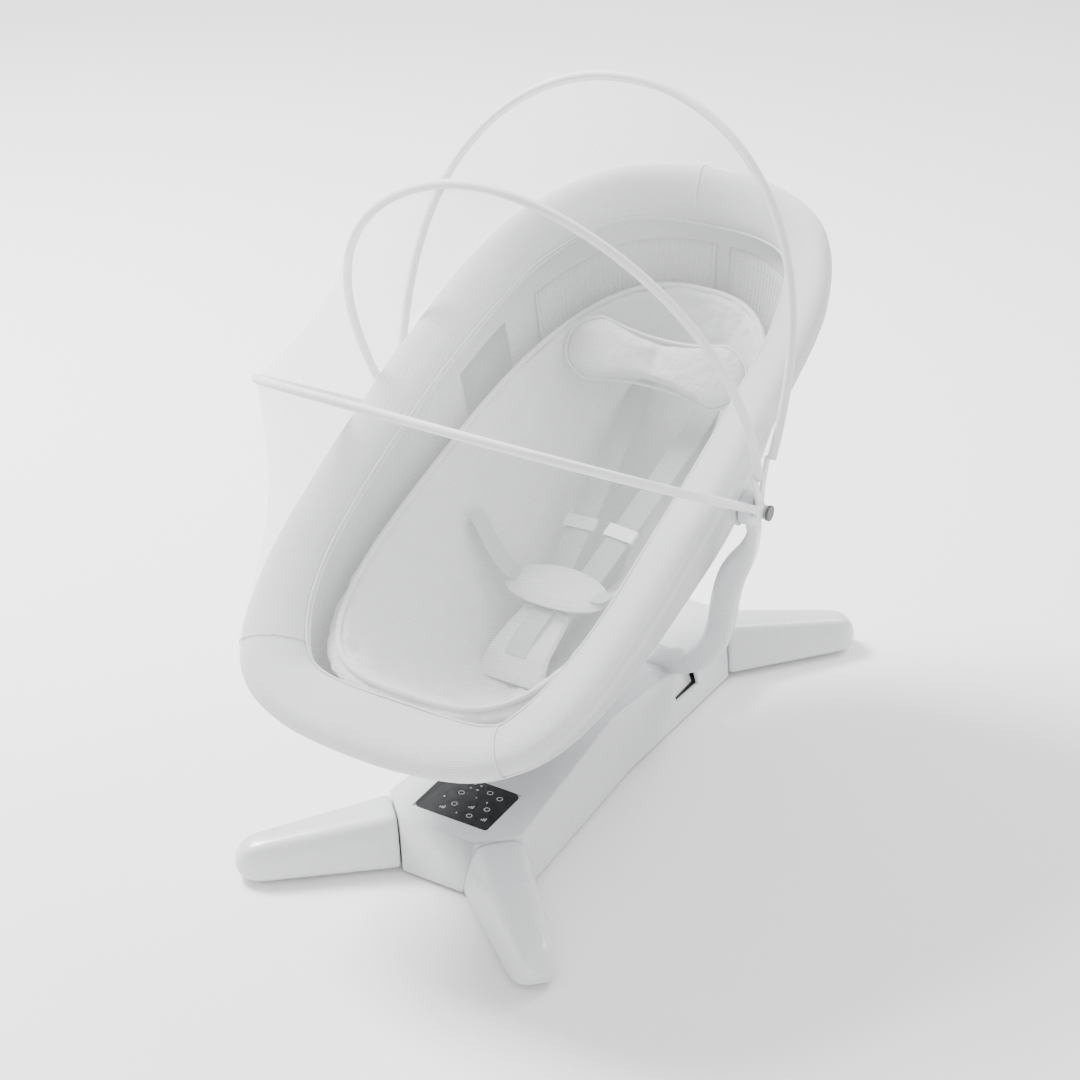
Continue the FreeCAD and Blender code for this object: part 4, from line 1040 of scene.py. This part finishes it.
@dataclass
class Base:
    """The floor base: hub and spine shell, four legs and the touch panel."""

    seam: Vector = field(default_factory=lambda: Vector((62, 247, 0)))
    panel: Vector = field(default_factory=lambda: Vector((0, -205, 62.25)))
    length: float = 166.0

    def leg(self, name: str, side: int, end: int) -> None:
        """Make one leg: a rounded bar that tapers to a soft tip, with a crease along its top edges."""
        rings = []
        for t in LEG_STEPS:
            taper = min(t, 0.9)
            foot = 76 - 29 * taper
            crown = 48 - 20 * taper
            height = 59 - 21 * taper
            shrink = math.sqrt(max(1 - ((t - 0.86) / 0.14) ** 2, 0.02)) if t > 0.86 else 1.0
            half = [(0.5 * foot - 5, 0), (0.5 * foot, 5), (0.48 * foot, 12),
                    (0.34 * (foot + crown) * 0.75, height * 0.6), (0.5 * crown + 1, height * 0.9),
                    (0.5 * crown - 5, height * 0.985)]
            shape = [(-x, z) for x, z in half] + [(0, height)] + half[::-1]
            low = 3.2 + height * 0.35 * (1 - shrink)
            rings.append([Vector((x * shrink, t * self.length, low + z * shrink)) for x, z in shape])
        bm = bmesh.new()
        skin(bm, rings, cap=True)
        turn = Matrix.Rotation(math.radians(-side * (90 - 45 * end)), 3, "Z")
        bmesh.ops.rotate(bm, cent=(0, 0, 0), matrix=turn, verts=bm.verts)
        spot = BASE + Vector((self.seam.x * side, self.seam.y * end, 0))
        bmesh.ops.translate(bm, vec=spot + Vector((side * 0.5, end * 0.5, 0)), verts=bm.verts)
        leg = finish_object(name + "_leg_shell", bm)
        subdivide(leg, 2)
        dress(leg, "shell", "base", "shell", name + "_leg")

    def shell(self) -> None:
        """Round the edges of the hub and spine shell."""
        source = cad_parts["base_shell"]
        bm = bmesh.new()
        bm.from_mesh(source.data)
        bmesh.ops.scale(bm, vec=(1000, 1000, 1000), verts=bm.verts)
        bmesh.ops.remove_doubles(bm, verts=bm.verts, dist=0.01)
        bmesh.ops.dissolve_limit(bm, angle_limit=math.radians(1.0), verts=bm.verts, edges=bm.edges)
        weights = bm.edges.layers.float.new("bevel_weight_edge")
        for edge in bm.edges:
            a, b = edge.verts[0].co, edge.verts[1].co
            if len(edge.link_faces) != 2 or edge.calc_face_angle(0) < math.radians(18):
                continue
            crown = min(a.z, b.z) > 61 and max(abs(a.x), abs(b.x)) > 50
            edge[weights] = 1.0 if crown else 0.08
        shell = finish_object("base_housing", bm)
        add_modifier(shell, "BEVEL", width=0.010, segments=5, limit_method="WEIGHT")
        dress(shell, "shell", "base", "shell", "base_shell")

    def icons(self) -> None:
        """Make the panel's generic pictograms: rings, bars and dots just above the glass."""
        bm = bmesh.new()
        centre = BASE + self.panel
        for x, y, kind in ICONS:
            here = centre + Vector((x, y, 0))
            if kind == "ring":
                outer = bmesh.ops.create_circle(bm, segments=24, radius=3.2)["verts"]
                bmesh.ops.translate(bm, vec=here, verts=outer)
                edges = list({e for v in outer for e in v.link_edges})
                made = bmesh.ops.extrude_edge_only(bm, edges=edges)["geom"]
                inner = [g for g in made if isinstance(g, BMVert)]
                bmesh.ops.scale(bm, vec=(0.82, 0.82, 1), verts=inner, space=Matrix.Translation(-here))
            elif kind == "dot":
                verts = bmesh.ops.create_circle(bm, cap_ends=True, segments=12, radius=0.9)["verts"]
                bmesh.ops.translate(bm, vec=here, verts=verts)
            for dx, dy, wide, tall in ICON_PLATES.get(kind, ()):
                verts = bmesh.ops.create_grid(bm, x_segments=1, y_segments=1, size=0.5)["verts"]
                bmesh.ops.scale(bm, vec=(wide, tall, 1), verts=verts)
                bmesh.ops.translate(bm, vec=here + Vector((dx, dy, 0)), verts=verts)
        bmesh.ops.solidify(bm, geom=bm.faces[:], thickness=0.15)
        bmesh.ops.recalc_face_normals(bm, faces=bm.faces)
        dress(finish_object("panel_icons", bm, smooth=False), "ink", "base", "panel_glass")

    def build(self) -> None:
        """Make the whole base."""
        for row, end in (("front", -1), ("rear", 1)):
            for hand, side in (("left", -1), ("right", 1)):
                self.leg(row + "_" + hand, side, end)
        self.shell()
        self.icons()


COLLAR_ROWS = ((54, 21, 56), (46, 20, 64), (30, 16, 70))
FOOT_ROWS = ((71.6, 26.3), (66.5, 39.5), (57.8, 61.8))


@dataclass
class Yoke:
    """The U-shaped yoke: a wide band that leans back and thins to its two pivot bosses."""

    line: tuple[tuple[float, float], ...] = (
        (7, 0.006), (7, 0.066), (5, 0.114), (-8, 0.222), (-30, 0.353),
        (-46, 0.494), (-59, 0.644), (-77, 0.784), (-105, 0.898), (-148, 0.976),
    )
    back: float = 129.0
    fall: float = 307.0
    boss_in: float = 198.0
    boss: float = 12.0
    boss_radius: float = 17.0
    slot_y: float = 135.0
    foot_half: float = 23.95
    half_thick: float = 12.0

    def __post_init__(self) -> None:
        """Work out the leaning plane."""
        self.lean = math.atan2(self.back, self.fall)
        self.drop = math.hypot(self.back, self.fall)

    def spot(self, x: float, down: float) -> Vector:
        """Return a point of the leaning plane."""
        return PIVOT + Vector((x, down * math.sin(self.lean), -down * math.cos(self.lean)))

    def build(self) -> None:
        """Make the band and its foot as one smooth moulding, and the two bosses."""
        half = [Vector((self.boss_in + x, self.drop * share, 0)) for x, share in self.line]
        plan = [Vector((-p.x, p.y, 0)) for p in half] + [Vector((0, self.drop, 0))] + half[::-1]
        path = smooth_line(plan, 97)
        normal = Vector((0, math.cos(self.lean), math.sin(self.lean)))
        outline = [squircle(t, 0.5) for t in circle(24)]
        rings = []
        for i, p in enumerate(path):
            a, b = path[max(i - 1, 0)], path[min(i + 1, 96)]
            along = (self.spot(b.x, b.y) - self.spot(a.x, a.y)).normalized()
            across = along.cross(normal).normalized()
            share = min(max((p.y - 14) / 110, 0), 1)
            wide = (10 + 20 * share * share * (3 - 2 * share)) / 2
            spot = self.spot(p.x, p.y)
            rings.append([spot + across * (u * wide) + normal * (v * self.half_thick) for u, v in outline])
        bm = bmesh.new()
        skin(bm, rings, cap=True)
        collar = [[BASE + Vector((x * math.cos(t), self.slot_y + y * math.sin(t), z)) for t in circle(48)]
                  for x, y, z in COLLAR_ROWS]
        skin(bm, collar, cap=True)
        band = finish_object("yoke_band", bm)
        add_modifier(band, "REMESH", mode="VOXEL", voxel_size=0.0028, use_smooth_shade=True)
        add_modifier(band, "SMOOTH", factor=0.5, iterations=9)
        apply_modifiers(band)
        dress(band, "shell", "yoke", "shell", "yoke")
        bm = bmesh.new()
        foot = [[BASE + Vector((x * sx, self.slot_y + self.foot_half * sy, z))
                 for sx, sy in ((-1, -1), (1, -1), (1, 1), (-1, 1))] for x, z in FOOT_ROWS]
        skin(bm, foot, cap=True)
        crowns = [e for e in bm.edges if min(v.co.z for v in e.verts) > 61
                  and abs(e.verts[0].co.y - e.verts[1].co.y) > 9]
        bmesh.ops.bevel(bm, geom=crowns, offset=8, segments=5, profile=0.5, affect="EDGES", material=-1)
        dress(finish_object("yoke_foot", bm, smooth=False), "shell", "yoke", "shell")
        for name, side in (("yoke_boss_left", -1), ("yoke_boss_right", 1)):
            part = bmesh.new()
            bmesh.ops.create_cone(part, cap_ends=True, segments=64, radius1=self.boss_radius,
                                  radius2=self.boss_radius, depth=self.boss)
            turn = Matrix.Rotation(math.pi / 2, 3, "Y")
            bmesh.ops.rotate(part, cent=(0, 0, 0), matrix=turn, verts=part.verts)
            rims = [e for e in part.edges if abs(e.verts[0].co.x - e.verts[1].co.x) < 0.1]
            bmesh.ops.bevel(part, geom=rims, offset=2, segments=3, profile=0.5, affect="EDGES", material=-1)
            spot = PIVOT + Vector((side * (self.boss_in + self.boss / 2), 0, 0))
            bmesh.ops.translate(part, vec=spot, verts=part.verts)
            dress(finish_object(name, part), "shell", "yoke", "shell")


CAD_FINISH = {
    "shell": ("base_cover", "seat_board", "buckle", "strap_adjusters"),
    "rubber": ("foot_pads",),
    "panel_glass": ("touch_panel",),
    "circuit": ("panel_board", "control_board"),
    "steel": ("leg_screws", "cover_screws", "drive_motor", "motor_bracket", "swing_shaft", "pivot_pins"),
    "dark_plastic": ("speaker", "bearing_blocks", "drive_pinion", "sector_gear", "power_inlet",
                     "pivot_caps", "buckle_button"),
    "frame_paint": ("rim_tube", "left_bracket", "right_bracket"),
    "hoop": ("rear_hoop_ends", "middle_hoop_ends", "front_hoop_ends"),
}


LAMPS = (("key", (-1.9, 0.2, 2.5), 1.0, 240), ("fill", (1.2, -2.4, 1.5), 2.0, 8),
         ("back", (1.0, 2.2, 2.4), 1.4, 60))


@dataclass
class Studio:
    """The floor, lights and camera."""

    azimuth: float = 30.42
    elevation: float = 29.81
    distance: float = 2.532
    target: Vector = field(default_factory=lambda: Vector((-0.0339, 0.0206, 0.2583)))

    def build(self) -> None:
        """Make the studio."""
        bm = bmesh.new()
        bmesh.ops.create_grid(bm, x_segments=1, y_segments=1, size=12000)
        floor = finish_object("studio_floor", bm, smooth=False)
        paper = bpy.data.materials.new("studio_paper")
        paper.use_nodes = True
        put(paper.node_tree.nodes["Principled BSDF"], Base_Color=(0.97, 0.97, 0.97, 1), Roughness=0.9)
        floor.data.materials.append(paper)
        world = bpy.data.worlds.new("studio")
        world.use_nodes = True
        put(world.node_tree.nodes["Background"], Color=(1, 1, 1, 1), Strength=1.25)
        bpy.context.scene.world = world
        for name, spot, size, power in LAMPS:
            lamp = bpy.data.lights.new(name, "AREA")
            lamp.size = size
            lamp.energy = power
            obj = bpy.data.objects.new(name, lamp)
            obj.location = spot
            aim = Vector((0, 0, 0.3)) - obj.location
            obj.rotation_euler = aim.to_track_quat("-Z", "Y").to_euler()
            bpy.context.scene.collection.objects.link(obj)
        camera = bpy.data.cameras.new("camera")
        camera.lens = 80
        camera.sensor_width = 36
        view = bpy.data.objects.new("camera", camera)
        az, el = math.radians(self.azimuth), math.radians(self.elevation)
        away = Vector((math.sin(az) * math.cos(el), -math.cos(az) * math.cos(el), math.sin(el)))
        view.location = self.target + away * self.distance
        view.rotation_euler = (-away).to_track_quat("-Z", "Y").to_euler()
        bpy.context.scene.collection.objects.link(view)
        bpy.context.scene.camera = view


def main() -> None:
    """Build every sub-assembly in order."""
    logging.basicConfig(level=logging.INFO, format="%(message)s")
    Studio().build()
    for finish, nodes in CAD_FINISH.items():
        for node in nodes:
            dress_node(node, finish)
    rim = Rim()
    rim.build()
    Bowl(rim).build()
    Mattress().build()
    Harness().build()
    Pillow().build()
    Hood(rim).build()
    Base().build()
    Yoke().build()


if __name__ == "__main__":
    main()
